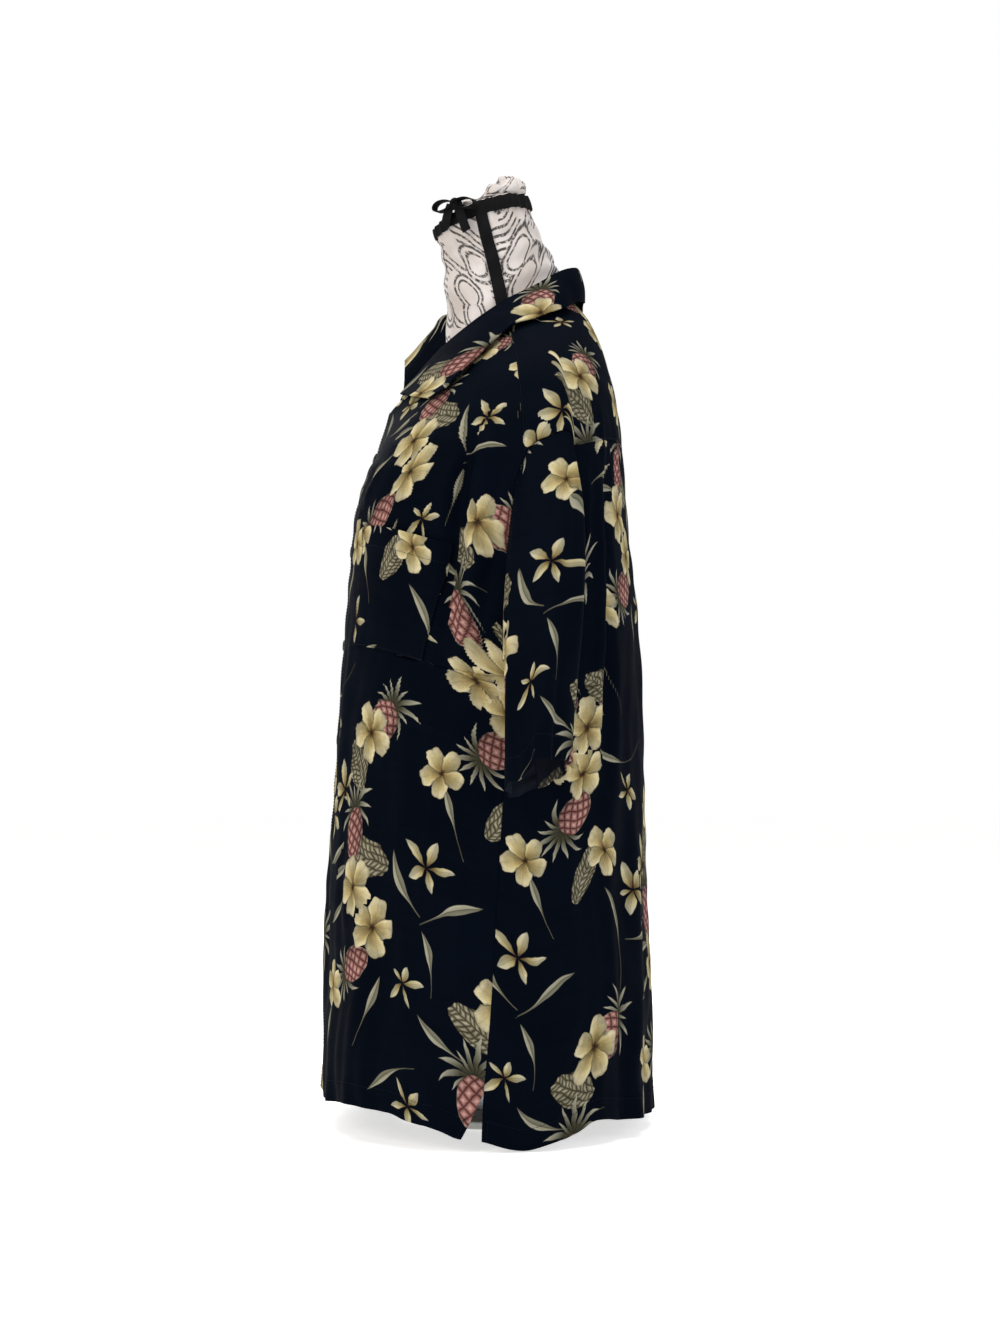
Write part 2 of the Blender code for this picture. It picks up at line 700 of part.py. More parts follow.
def sleeve_line(k):
    """The line that node k of the armhole follows down to the sleeve's hem."""
    turn = 2.0 * math.pi * k / ARMHOLE_NODES
    start, normal = armhole_edge(k, SEAM_GAP)
    end = cuff_point(turn)
    top_share = 0.5 + 0.5 * math.cos(turn)
    shoulder_end = body_point(ARMHOLE_MIDDLE, SHOULDER_END_LEVEL)
    down = shoulder_end - body_point(ARMHOLE_MIDDLE, SHOULDER_LEVEL)
    level = normal + SLEEVE_LEVEL
    leave = level.normalized().lerp(down.normalized(), SLEEVE_DROP * top_share**2).normalized()
    leave = leave * mix(*SLEEVE_LEAVE, top_share)
    arrive = SLEEVE_END.normalized() * mix(*SLEEVE_ARRIVE, top_share)
    line = []
    for i in range(SLEEVE_RINGS + 1):
        t = (i / SLEEVE_RINGS) ** SLEEVE_CROWDING
        t2 = t * t
        t3 = t2 * t
        line.append(
            start * (2 * t3 - 3 * t2 + 1)
            + leave * (t3 - 2 * t2 + t)
            + end * (3 * t2 - 2 * t3)
            + arrive * (t3 - t2)
        )
    return line


def sleeve(name, side, collection):
    """A short set-in sleeve, hollow from the armhole to its hem."""
    lines = [sleeve_line(k) for k in range(ARMHOLE_NODES)]
    outer = [[lines[k][i] for k in range(ARMHOLE_NODES)] for i in range(SLEEVE_RINGS + 1)]
    inner = []
    for i, ring in enumerate(outer):
        above = outer[max(i - 1, 0)]
        below = outer[min(i + 1, SLEEVE_RINGS)]
        inner_ring = []
        for k, point in enumerate(ring):
            around = ring[(k + 1) % ARMHOLE_NODES] - ring[k - 1]
            down = below[k] - above[k]
            normal = around.cross(down).normalized()
            if i == 0:
                seam_point = armhole_edge(k, SEAM_GAP + WALL)[0]
                inner_ring.append(seam_point)
            else:
                inner_ring.append(point + normal * WALL)
        inner.append(inner_ring)
    for grid in (outer, inner):
        for ring in grid:
            for point in ring:
                point.x *= side
    bm = wall_between(outer, inner, closed_ring=True)
    return add_object(name, bm, collection, "cloth")


def grid_normals(grid, closed_ring=False):
    """Normals of a grid of points, from its own neighbours."""
    rows = len(grid)
    columns = len(grid[0])
    normals = []
    for i in range(rows):
        line = []
        for j in range(columns):
            if closed_ring:
                around = grid[i][(j + 1) % columns] - grid[i][j - 1]
            else:
                around = grid[i][min(j + 1, columns - 1)] - grid[i][max(j - 1, 0)]
            along = grid[min(i + 1, rows - 1)][j] - grid[max(i - 1, 0)][j]
            line.append(around.cross(along).normalized())
        normals.append(line)
    return normals


def offset_grid(grid, normals, distance):
    return [[p + n * distance for p, n in zip(row, ns)] for row, ns in zip(grid, normals)]


def collar_line(place, side):
    """The middle of the collar's cloth at one station, from the neck seam over the crown to its edge."""
    read = {name: column(COLLAR_STATIONS, name, place) for name in CollarStation._fields[1:]}
    angle = side * read["seam_angle"]
    seam = body_point(angle, NECKLINE) - body_normal(angle, NECKLINE) * (0.5 * WALL)
    around = body_point(angle + 1.0, NECKLINE) - body_point(angle - 1.0, NECKLINE)
    out = Vector((around.y, -around.x, 0.0)).normalized()
    up = Vector((0.0, 0.0, 1.0))
    stand = read["stand"]
    lean = read["lean"]
    edge_angle = side * read["edge_angle"]
    edge_v = NECKLINE - read["fall"]
    edge = body_point(edge_angle, edge_v) + body_normal(edge_angle, edge_v) * read["lift"]
    line = [seam + up * COLLAR_SEAT]
    line.append(seam + up * (COLLAR_HALF_STAND * stand) + out * (0.5 * lean))
    line.append(seam + up * (stand - COLLAR_ROLL) + out * lean)
    line.append(seam + up * stand + out * (lean + COLLAR_ROLL))
    shoulder = seam + up * (stand - COLLAR_ROLL) + out * (lean + 2.0 * COLLAR_ROLL)
    line.append(shoulder)
    for t in COLLAR_FALL_STEPS:
        bulge = COLLAR_BULGE * math.sin(math.pi * t)
        line.append(shoulder.lerp(edge, t) + out * bulge)
    return opened(line, place) if side < 0 else line


def opened(line, place):
    """The right leaf's line at one station, turned up from its folded line as far as it is open."""
    read = {name: column(OPEN_LEAF, name, place) for name in OpenLeaf._fields[1:]}
    low = line[0]
    top = low + Vector((-read["out"], -read["forward"], read["up"]))
    bend = low + Vector((0.0, 0.0, OPEN_BEND_SHARE * read["up"]))
    result = []
    for folded, t in zip(line, OPEN_STEPS):
        stood = low * (1.0 - t) ** 2 + bend * (2.0 * t * (1.0 - t)) + top * t**2
        result.append(folded.lerp(stood, clamp01(read["share"])))
    return result


def collar(collection):
    """The collar: stand and fall in one folded wall, from point to point round the neck."""
    last = len(COLLAR_STATIONS) - 1
    places = [last * i / COLLAR_STEPS for i in range(COLLAR_STEPS + 1)]
    lines = [collar_line(place, 1) for place in reversed(places)]
    lines += [collar_line(place, -1) for place in places[1:]]
    normals = grid_normals(lines)
    outer = offset_grid(lines, normals, 0.5 * WALL)
    inner = offset_grid(lines, normals, -0.5 * WALL)
    return add_object("collar", wall_between(outer, inner), collection, "cloth")


def pocket(collection):
    """The chest pocket, made from the left front's own points, moved out."""
    grid = front_places(1)
    low = next(i for i, row in enumerate(grid) if row[-1][1] >= UNDERARM - 0.01)
    rows = grid[low : low + POCKET_ROWS]
    last = FRONT_INNER_COLUMNS + FRONT_MIDDLE_COLUMNS
    places = [row[FRONT_INNER_COLUMNS : last + 1] for row in rows]
    inner = []
    outer = []
    for row in places:
        inner.append([body_point(a, v) + body_normal(a, v) * SEAM_GAP for a, v in row])
        outer.append([body_point(a, v) + body_normal(a, v) * (SEAM_GAP + WALL) for a, v in row])
    return add_object("chest_pocket", wall_between(outer, inner), collection, "cloth")


def seat_on(obj, x, z, radius):
    """Where a small disc facing forward rests on obj at (x, z): its middle and the way it faces."""
    tree = BVHTree.FromObject(obj, bpy.context.evaluated_depsgraph_get())
    ahead = Vector((0.0, 1.0, 0.0))
    point, normal, _, _ = tree.ray_cast(Vector((x, -1.0, z)), ahead)
    normal.x = 0.0
    normal.normalize()
    reach = 0.0
    for turn in range(12):
        angle = math.tau * turn / 12
        start = Vector((x + radius * math.cos(angle), -1.0, z + radius * math.sin(angle)))
        rim = tree.ray_cast(start, ahead)[0]
        reach = max(reach, (rim - point).dot(normal))
    return point + normal * reach, normal


def placed_disc(name, radius, thickness, rim, centre, axis, collection, finish, segments):
    """A disc with rounded rims, its faces square to axis."""
    bm = bmesh.new()
    bmesh.ops.create_cone(
        bm,
        cap_ends=True,
        segments=segments,
        radius1=radius,
        radius2=radius,
        depth=thickness,
    )
    rims = [e for e in bm.edges if abs(e.verts[0].co.z - e.verts[1].co.z) < 1e-6]
    bmesh.ops.bevel(bm, geom=rims, offset=rim, segments=2, affect="EDGES", profile=0.5)
    turn = Vector((0.0, 0.0, 1.0)).rotation_difference(axis)
    for vert in bm.verts:
        vert.co = centre + turn @ vert.co
    return add_object(name, bm, collection, finish)


def buttons(left_front, collection):
    """The front buttons, on the left front along the centre line."""
    for i in range(BUTTON_COUNT):
        z = HEM_HEIGHT + BUTTON_TOP - i * BUTTON_PITCH
        seat, normal = seat_on(left_front, 0.0, z, BUTTON_RADIUS)
        centre = seat + normal * (SEAM_GAP + 0.5 * BUTTON_THICKNESS)
        placed_disc(
            "button_%d" % (i + 1),
            BUTTON_RADIUS,
            BUTTON_THICKNESS,
            BUTTON_RIM,
            centre,
            normal,
            collection,
            "button",
            BUTTON_SIDES,
        )


def form_point(angle, v):
    return ring_point(FORM_ROWS, angle, v)


def form_ring(v, out=0.0):
    """A ring of points round the form at level v, moved out from its surface."""
    points = []
    for j in range(FORM_COLUMNS):
        angle = 360.0 * j / FORM_COLUMNS - 180.0
        point = form_point(angle, v)
        if out:
            point = point + surface_normal(form_point, angle, min(v, NECK_TOP - 0.02)) * out
        points.append(point)
    return points


def closed_stack(rings):
    """A closed body from a stack of rings, each end closed by one flat or fanned cap."""
    bm = bmesh.new()
    skins = [[bm.verts.new(p) for p in ring] for ring in rings]
    count = len(rings[0])
    for low, high in zip(skins, skins[1:]):
        for j in range(count):
            k = (j + 1) % count
            bm.faces.new((low[j], low[k], high[k]))
            bm.faces.new((low[j], high[k], high[j]))
    for ring in (skins[0], skins[-1]):
        middle = bm.verts.new(sum((v.co for v in ring), Vector()) / count)
        for j in range(count):
            bm.faces.new((ring[j], ring[(j + 1) % count], middle))
    return bm


def form_torso(collection):
    """Shoulders, bust, waist and neck of the form, down to its flat underside."""
    levels = [NECK_TOP * i / FORM_STEPS for i in range(FORM_STEPS + 1)]
    return add_object("form_torso", closed_stack([form_ring(v) for v in levels]), collection, "cover")


def neck_cap(collection):
    """The gathered top of the cover, a low uneven mound on the neck."""
    base = form_ring(NECK_TOP)
    middle = sum(base, Vector()) / len(base)
    axis = (base[0] - middle).cross(base[FORM_COLUMNS // 4] - middle).normalized()
    if axis.z < 0:
        axis.negate()
    rings = []
    for reach, rise in CAP_PROFILE:
        ring = []
        for j, point in enumerate(base):
            turn = CAP_PLEATS * math.tau * j / FORM_COLUMNS + CAP_PLEAT_TWIST * reach
            pleat = 1.0 + CAP_PLEAT_SHARE * math.sin(turn)
            toward_back = 0.5 + 0.5 * (point.y - middle.y) / CAP_DEPTH
            height = rise * mix(CAP_FRONT_SHARE, CAP_BACK_SHARE, toward_back) * pleat
            ring.append(middle + (point - middle) * reach + axis * (TAPE_GAP + height))
        rings.append(ring)
    return add_object("form_neck_cap", closed_stack(rings), collection, "cover")


def tape_ring(collection):
    """The tape round the top of the neck."""
    levels = [mix(TAPE_RING_LOW, TAPE_RING_HIGH, i / 3) for i in range(4)]
    inner = [form_ring(v, TAPE_GAP) for v in levels]
    outer = [form_ring(v, TAPE_GAP + TAPE_THICKNESS) for v in levels]
    bm = wall_between(outer, inner, closed_ring=True)
    return add_object("form_neck_tape", bm, collection, "tape")


def side_tape(name, side, collection):
    """The tape down one side of the neck, which ends inside the shirt's neck."""
    inner = []
    outer = []
    for i in range(SIDE_TAPE_STEPS + 1):
        v = mix(SIDE_TAPE_LOW, SIDE_TAPE_HIGH, i / SIDE_TAPE_STEPS)
        inner_row = []
        outer_row = []
        reach = column(FORM_ROWS, "front", v) + column(FORM_ROWS, "side_y", v)
        half = math.degrees(0.5 * TAPE_WIDTH / reach)
        for across in SIDE_TAPE_ACROSS:
            angle = side * (90.0 + half * across)
            point = form_point(angle, v)
            normal = surface_normal(form_point, angle, v)
            inner_row.append(point + normal * SIDE_TAPE_GAP)
            outer_row.append(point + normal * (SIDE_TAPE_GAP + TAPE_THICKNESS))
        inner.append(inner_row)
        outer.append(outer_row)
    return add_object(name, wall_between(outer, inner), collection, "tape")


def bow(collection):
    """The tape's knot at the left front of the neck top, as one rounded body."""
    angle = BOW_ANGLE
    v = 0.5 * (TAPE_RING_LOW + TAPE_RING_HIGH)
    normal = surface_normal(form_point, angle, v)
    reach = TAPE_GAP + TAPE_THICKNESS + BOW_SIZE[1]
    centre = form_point(angle, v) + normal * reach + Vector((0.0, 0.0, BOW_RISE))
    turn = Vector((0.0, 1.0, 0.0)).rotation_difference(normal)
    bm = bmesh.new()
    bmesh.ops.create_uvsphere(bm, u_segments=16, v_segments=10, radius=1.0)
    for vert in bm.verts:
        local = Vector([c * s for c, s in zip(vert.co, BOW_SIZE)])
        vert.co = centre + turn @ local
    return add_object("form_bow", bm, collection, "tape")


def stand(collection):
    """The post and the round foot under the form."""
    up = Vector((0.0, 0.0, 1.0))
    placed_disc(
        "stand_foot",
        FOOT_RADIUS,
        FOOT_THICKNESS,
        FOOT_RIM,
        Vector((0.0, 0.0, 0.5 * FOOT_THICKNESS)),
        up,
        collection,
        "foot",
        FOOT_SIDES,
    )
    low = FOOT_THICKNESS + SEAM_GAP
    high = FORM_ROWS[0].z_side + HEM_HEIGHT - SEAM_GAP
    placed_disc(
        "stand_post",
        POST_RADIUS,
        high - low,
        POST_RIM,
        Vector((0.0, 0.0, 0.5 * (low + high))),
        up,
        collection,
        "steel",
        POST_SIDES,
    )


def remove_all():
    for obj in list(bpy.data.objects):
        bpy.data.objects.remove(obj, do_unlink=True)


def main():
    remove_all()
    shirt = bpy.data.collections.new("hawaiian_shirt")
    bpy.context.scene.collection.children.link(shirt)
    left_front = panel("left_front", front_places(1), shirt, {"last column"})
    panel("right_front", front_places(-1), shirt, {"last column"}, lap_sink)
    panel("back", back_places(), shirt, {"first column", "last column", "last row"})
    panel("yoke", yoke_places(), shirt, {"first column", "last column", "first row"})
    sleeve("left_sleeve", 1, shirt)
    sleeve("right_sleeve", -1, shirt)
    collar(shirt)
    pocket(shirt)
    buttons(left_front, shirt)
    form_torso(shirt)
    neck_cap(shirt)
    tape_ring(shirt)
    side_tape("form_side_tape_left", 1, shirt)
    side_tape("form_side_tape_right", -1, shirt)
    bow(shirt)
    stand(shirt)


main()
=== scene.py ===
"""Hawaiian shirt on a limbless dress form: the look of every piece.

Metres, +Z up. The form faces -Y and the wearer's left is +X. Angles round the body are in degrees
from the centre front, positive towards the wearer's left, with 180 at the centre back. A level is
a row of a table of rings, from the hem up, and a place between two rows is read smoothly. Flat
places are metres on the uncut cloth, across and up.
"""

import logging
import math
from dataclasses import dataclass, field, fields, replace
from enum import Enum

import bmesh
import bpy
import numpy as np
from mathutils import Matrix, Vector
from numpy.typing import NDArray


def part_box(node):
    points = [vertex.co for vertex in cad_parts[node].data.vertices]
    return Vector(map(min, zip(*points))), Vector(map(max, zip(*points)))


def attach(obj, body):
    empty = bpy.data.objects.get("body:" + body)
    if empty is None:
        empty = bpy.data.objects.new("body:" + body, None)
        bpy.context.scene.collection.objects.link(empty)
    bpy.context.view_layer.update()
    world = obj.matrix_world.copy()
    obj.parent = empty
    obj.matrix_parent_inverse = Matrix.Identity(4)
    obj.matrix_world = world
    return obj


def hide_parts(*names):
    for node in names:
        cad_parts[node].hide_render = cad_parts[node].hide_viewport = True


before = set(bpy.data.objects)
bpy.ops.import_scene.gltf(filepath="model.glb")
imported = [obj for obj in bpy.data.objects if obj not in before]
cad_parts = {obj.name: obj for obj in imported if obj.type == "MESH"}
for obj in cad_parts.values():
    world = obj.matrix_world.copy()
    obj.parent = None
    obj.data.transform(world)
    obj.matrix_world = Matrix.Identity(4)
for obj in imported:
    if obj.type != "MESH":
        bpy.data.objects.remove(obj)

Array = NDArray[np.float64]
Socket = bpy.types.NodeSocket
Input = bpy.types.Node | bpy.types.NodeSocket | float | tuple[float, ...]
Stops = tuple[tuple[float, str], ...]
Step = tuple[str | Input | dict[str, object], ...]

LOG = logging.getLogger("shirt")
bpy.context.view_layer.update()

MM = 0.001
MM_PER_METRE = 1000.0
DEGREES_ROUND = 360.0
HALF_ROUND = 180.0

# Cloth
CLOTH_THICKNESS = 0.0010
COLLAR_THICKNESS = 0.0018
SEAM_GAP = 0.0003
HEM_HEIGHT = 0.011  # the straight hem above the surface that the foot rests on
HEM_FOLD = 0.020  # depth of the turned-up hem
FRONT_EXTENSION = 0.016  # each front's edge past the centre front
PLACKET_WIDTH = 0.030
LAP_FADE = 0.030  # width over which the right front drops under the left one
LAP_DEPTH = 0.0018
METRES_PER_DEGREE = 0.0036  # round the body, at its middle size
FOLDED_RISE = 0.0005  # how much higher the cloth stands where it is turned in
HEM_RISE = 0.0004
STEP_FADE = 0.0025  # width over which such a step rises
RIPPLE_WIDTH = 0.020  # of the ripples along a front edge
GRAIN_ROUGHNESS = 0.06  # how far a finish's grain moves its roughness
FAR_OFF = 9.0  # a motif's own place where no motif is near

# Counts of the grids' rows and columns, and how much closer they stand at the edges
FRONT_COLUMNS = 104
BACK_COLUMNS = 168
SLEEVE_ROWS = 92
SLEEVE_COLUMNS = 120
COLLAR_HALF_COLUMNS = 130
BODY_CROWDING = 0.55

# Steps each way in which a surface's normal is read
ANGLE_STEP = 0.25
LEVEL_STEP = 0.02

# Places along the body, as levels
UNDERARM = 4.30
ARMHOLE_TOP = 7.72
NECKLINE = 12.0
VENT_TOP = 0.46
SIDE_SEAM = 90.0
FRONT_VENT_SPREAD = 4.2
BACK_VENT_SPREAD = 0.4

# Armhole
ARMHOLE_MIDDLE = 95.8
ARMHOLE_HALF = 13.8
ARMHOLE_CORNER = 0.40
ARMHOLE_DRIFT_POWER = 2.5
ARMHOLE_NODES = 20
ARMHOLE_MIDDLE_V = 0.5 * (UNDERARM + ARMHOLE_TOP)
ARMHOLE_HALF_V = 0.5 * (ARMHOLE_TOP - UNDERARM)
YOKE_NODE = 2  # the armhole node where the yoke begins
UNDERARM_NODE = ARMHOLE_NODES // 2
YOKE_SEAM_AT_NECK = 92.0
YOKE_SEAM_BOW = 3.8

# The front's own columns, in whole steps: front edge, pocket, pocket's outer side, side seam
FRONT_STOPS = (0.0, 6.0, 13.0, 18.0)
POCKET_INNER_ANGLE = 26.2
POCKET_OUTER_TOP = 65.1
POCKET_OUTER_LOW = 61.5
POCKET_HEIGHT = 1.7
POCKET_HEM = 0.020
POCKET_TOP_NODE = 5
GRAIN_RISE = 0.55
GRAIN_RISE_START = 1.5
GRAIN_RISE_LENGTH = 4.5
GRAIN_RISE_END = 9.0
GRAIN_FALL_LENGTH = 2.6
SIDE_ZONE_BACK = 116.0
BACK_SHARES = (0.0, 0.17, 0.83, 1.0)  # of the back's width, at its edges and SIDE_ZONE_BACK

# Folds
FOLD_FADE_HIGH = 0.30
FOLD_FADE_LOW = 0.35
TROUGH_SHIFT = 1.15
HEM_FADE = 2.4

# Collar
COLLAR_ROLL = 0.0022
COLLAR_BULGE = 0.0020
COLLAR_SEAT = 0.0012
COLLAR_SINK = 0.0006
COLLAR_HALF_STAND = 0.55
COLLAR_FALL_STEPS = (0.30, 0.62, 1.0)
OPEN_STEPS = (0.0, 0.20, 0.38, 0.46, 0.54, 0.70, 0.86, 1.0)
LAST_STATION = 8

# Sleeve
CAP_SINK = 0.0012
SHOULDER_SPAN = (0.8, -0.2)  # levels past the armhole's top, for the shoulder's way
CUFF_INNER = 0.2410
CUFF_OUTER = 0.3450
CUFF_FRONT = 0.0170
CUFF_BACK = 0.0745
CUFF_TUCK = 0.010
LEAST_LEVEL = 0.15  # least share of a row's step that counts as level, by a slanting seam
CUFF_HEM = 0.022
CUFF_HEIGHTS = (0.350, 0.351, 0.331, 0.320, 0.317, 0.325, 0.334, 0.346)  # every 45 degrees
CUFF_FIRST_TURN = -45.0
SLEEVE_LEVEL = (0.6, 0.0, 0.3)
SLEEVE_DROP = 0.85
SLEEVE_LEAVE = (0.070, 0.170)
SLEEVE_ARRIVE = (0.050, 0.260)
SLEEVE_END = (0.30, 0.0, -1.0)

# Buttons
BUTTON_RADIUS = 0.0057
BUTTON_HOLE_RADIUS = 0.00075
BUTTON_HOLE_SPREAD = 0.0013
BUTTON_COUNT = 6
BUTTON_THICKNESS = 0.0022
THREAD_SIDE = 0.00092
THREAD_LANE = 0.00022
THREAD_RISE = 0.00075
THREAD_BAR = (0.00024, 0.00135, 0.00022)  # half its size each way
BOUND_COUNT = 17  # stitches that bind each side of a buttonhole
BOUND_SIDE = 0.0010
BOUND_RISE = 0.0001
BOUND_ROD = (0.0010, 0.00050, 0.00035)  # half its size each way
BUTTON_SHARP = math.radians(40)
BUTTON_PROFILE = (  # shares of the radius and of the thickness
    (0.0, 0.30), (0.48, 0.30), (0.66, 0.36), (0.76, 0.50), (0.88, 0.50), (0.97, 0.34), (1.0, 0.0),
    (0.96, -0.34), (0.84, -0.5), (0.0, -0.5),
)
BUTTONHOLE_LENGTH = 0.0150

# Form and its tapes
NECK_TOP = 16.0
TAPE_WIDTH = 0.011
TAPE_THICKNESS = 0.0010
BOW_HALF_WIDTH = 0.46 * TAPE_WIDTH  # the tape draws in where it is tied
BOW_ANGLE = 60.0
BOW_LOOPS = ((1.0, 0.026, 0.004), (-1.0, 0.024, 0.002))  # side, length and droop
BOW_ENDS = ((1.0, 0.030), (-1.0, 0.022))  # side and length
KNOT_SIZE = (0.0060, 0.0046, 0.0066)
TAPE_GAP = 0.0003
TAPE_SHARP = math.radians(50)
RING_ROWS = 9
SIDE_TAPE_ROWS = 7
TAPE_RING_LOW = 15.45
TAPE_RING_HIGH = 15.93
SIDE_TAPE_LOW = 12.75
SIDE_TAPE_HIGH = 15.39
CAP_LEAN = 0.018  # how far the cover's gathered top leans back
UNDERSIDE_SHARES = (0.02, 0.3, 0.6, 0.85, 0.97)
LID_SHARES = (0.9, 0.5, 0.02)
CAP_PROFILE = ((0.94, 0.0), (0.97, 0.0045), (0.88, 0.0120), (0.62, 0.0180), (0.30, 0.0215))

# Stitching: short rods of thread, drawn a little thicker than the real one so that they show
STITCH_PITCH = 0.0034
STITCH_LENGTH = 0.0024
STITCH_RADIUS = 0.00022
STITCH_START = 0.2  # of a pitch
STITCH_LIFT = 0.45  # of the radius
STITCH_TIP = 0.0001
STITCH_SIDES = 5
STITCH_RINGS = ((0.12, 0.85), (0.5, 1.0), (0.88, 0.85))  # shares of the length and of the radius
EDGE_STITCH = 0.005  # from an edge to the stitches along it
SEAM_STITCH = 0.002

# The printed cloth's repeat, across and up
REPEAT = (0.330, 0.440)


@dataclass(frozen=True)
class Ring:
    """One level ring of a body: its heights over the hem, its reach and how square it is."""

    name: str
    z_front: float
    z_side: float
    z_back: float
    front: float
    back: float
    side: float
    side_y: float
    square: float


BODY_RINGS = (
    Ring("hem", 0.000, 0.000, 0.000, 0.1690, 0.1670, 0.230, -0.008, 2.30),
    Ring("hip", 0.110, 0.110, 0.110, 0.1680, 0.1660, 0.233, 0.002, 2.30),
    Ring("high hip", 0.220, 0.220, 0.220, 0.1650, 0.1620, 0.234, 0.009, 2.30),
    Ring("waist", 0.320, 0.320, 0.320, 0.1590, 0.1600, 0.232, 0.015, 2.30),
    Ring("below underarm", 0.415, 0.405, 0.415, 0.1540, 0.1570, 0.228, 0.028, 2.25),
    Ring("bust", 0.490, 0.478, 0.500, 0.1490, 0.1520, 0.225, 0.042, 2.20),
    Ring("chest", 0.555, 0.545, 0.580, 0.1440, 0.1450, 0.224, 0.050, 2.20),
    Ring("upper chest", 0.606, 0.612, 0.650, 0.1395, 0.1400, 0.223, 0.055, 2.20),
    Ring("shoulder end", 0.643, 0.675, 0.706, 0.1300, 0.1350, 0.216, 0.055, 2.15),
    Ring("shoulder", 0.668, 0.728, 0.752, 0.1190, 0.1265, 0.190, 0.048, 2.05),
    Ring("mid shoulder", 0.687, 0.762, 0.787, 0.1130, 0.1170, 0.152, 0.038, 1.95),
    Ring("by the neck", 0.702, 0.785, 0.815, 0.1085, 0.1050, 0.113, 0.026, 1.92),
    Ring("neckline", 0.716, 0.803, 0.836, 0.1050, 0.0880, 0.078, 0.017, 2.00),
)

FORM_RINGS = (
    Ring("underside edge", 0.165, 0.165, 0.165, 0.1000, 0.1080, 0.150, 0.004, 2.10),
    Ring("seat", 0.178, 0.178, 0.178, 0.1100, 0.1180, 0.163, 0.004, 2.10),
    Ring("hip", 0.230, 0.230, 0.230, 0.1160, 0.1230, 0.172, 0.004, 2.10),
    Ring("belly", 0.310, 0.310, 0.310, 0.1090, 0.1120, 0.156, 0.006, 2.10),
    Ring("waist", 0.385, 0.385, 0.385, 0.0980, 0.1000, 0.133, 0.010, 2.10),
    Ring("ribs", 0.460, 0.460, 0.465, 0.1100, 0.1110, 0.144, 0.018, 2.10),
    Ring("bust", 0.545, 0.540, 0.560, 0.1360, 0.1240, 0.160, 0.030, 2.15),
    Ring("chest", 0.595, 0.605, 0.630, 0.1310, 0.1290, 0.172, 0.040, 2.20),
    Ring("shoulder end", 0.632, 0.672, 0.700, 0.1190, 0.1270, 0.184, 0.047, 2.15),
    Ring("shoulder", 0.655, 0.7240, 0.746, 0.1060, 0.1190, 0.1850, 0.048, 2.05),
    Ring("mid shoulder", 0.672, 0.7597, 0.779, 0.0920, 0.1080, 0.1495, 0.038, 1.95),
    Ring("by the neck", 0.695, 0.7812, 0.806, 0.0750, 0.0960, 0.1100, 0.026, 1.95),
    Ring("neck base", 0.735, 0.8000, 0.838, 0.0530, 0.0810, 0.0680, 0.018, 2.00),
    Ring("low neck", 0.795, 0.8300, 0.862, 0.0445, 0.0765, 0.0570, 0.012, 2.00),
    Ring("neck", 0.855, 0.8700, 0.888, 0.0465, 0.0645, 0.0525, 0.003, 2.00),
    Ring("high neck", 0.890, 0.9020, 0.918, 0.0510, 0.0480, 0.0505, -0.005, 2.00),
    Ring("neck top", 0.916, 0.9330, 0.950, 0.0560, 0.0370, 0.0490, -0.011, 2.00),
)


@dataclass(frozen=True)
class Fold:
    """A long fold down the body: a ridge, with a trough on the side that trough_side names.

    hidden is how much cloth lies folded under it, which cuts the print along the trough.
    """

    angle_top: float
    angle_low: float
    top: float
    low: float
    half_width: float
    ridge: float
    trough: float
    trough_side: int
    hidden: float


FOLDS = (
    Fold(74.0, 73.0, 8.60, 3.9, 5.5, 0.0060, 0.0110, -1, 0.022),
    Fold(-73.0, -74.5, 8.40, 3.6, 5.5, 0.0055, 0.0100, 1, 0.020),
    Fold(126.0, 123.0, 7.55, 2.6, 5.5, 0.0050, 0.0080, 1, 0.018),
    Fold(-127.0, -125.0, 7.55, 2.9, 5.5, 0.0050, 0.0075, -1, 0.018),
    Fold(46.0, 44.0, 3.6, -1.6, 9.0, 0.0040, 0.0040, 1, 0.0),
    Fold(-41.0, -46.0, 3.2, -1.6, 9.0, 0.0045, 0.0030, -1, 0.0),
    Fold(148.0, 150.0, 3.4, -1.6, 8.0, 0.0035, 0.0035, -1, 0.0),
    Fold(-152.0, -149.0, 3.8, -1.6, 8.0, 0.0035, 0.0030, 1, 0.0),
)


@dataclass(frozen=True)
class SleeveFold:
    """A fold along the left sleeve, by its turns in degrees and its shares of the length."""

    turn_top: float
    turn_low: float
    start: float
    end: float
    half_width: float
    height: float


SLEEVE_FOLDS = (
    SleeveFold(58.0, 66.0, 0.18, 1.05, 13.0, 0.0042),
    SleeveFold(84.0, 92.0, 0.30, 1.10, 12.0, -0.0040),
    SleeveFold(26.0, 20.0, 0.35, 1.10, 14.0, -0.0028),
    SleeveFold(-6.0, -2.0, 0.22, 1.05, 12.0, 0.0026),
    SleeveFold(-44.0, -34.0, 0.30, 1.10, 13.0, -0.0034),
    SleeveFold(-66.0, -74.0, 0.16, 1.05, 12.0, 0.0036),
    SleeveFold(-104.0, -96.0, 0.40, 1.10, 16.0, -0.0028),
    SleeveFold(120.0, 128.0, 0.35, 1.10, 17.0, 0.0026),
)

HEM_ANGLES = (
    -180.0, -165.0, -145.0, -128.0, -114.0, -101.0, -88.0, -75.0, -61.0, -41.0, -20.0, 0.0,
    20.0, 42.0, 60.0, 74.0, 86.0, 101.0, 113.0, 127.0, 143.0, 163.0, 180.0,
)
HEM_LIFTS = (
    0.0060, 0.0050, 0.0090, 0.0110, -0.0010, -0.0080, 0.0010, 0.0120, 0.0195, 0.0225, 0.0205,
    0.0215, 0.0195, 0.0250, 0.0225, 0.0135, 0.0020, -0.0095, -0.0010, 0.0140, 0.0080, 0.0055,
    0.0060,
)


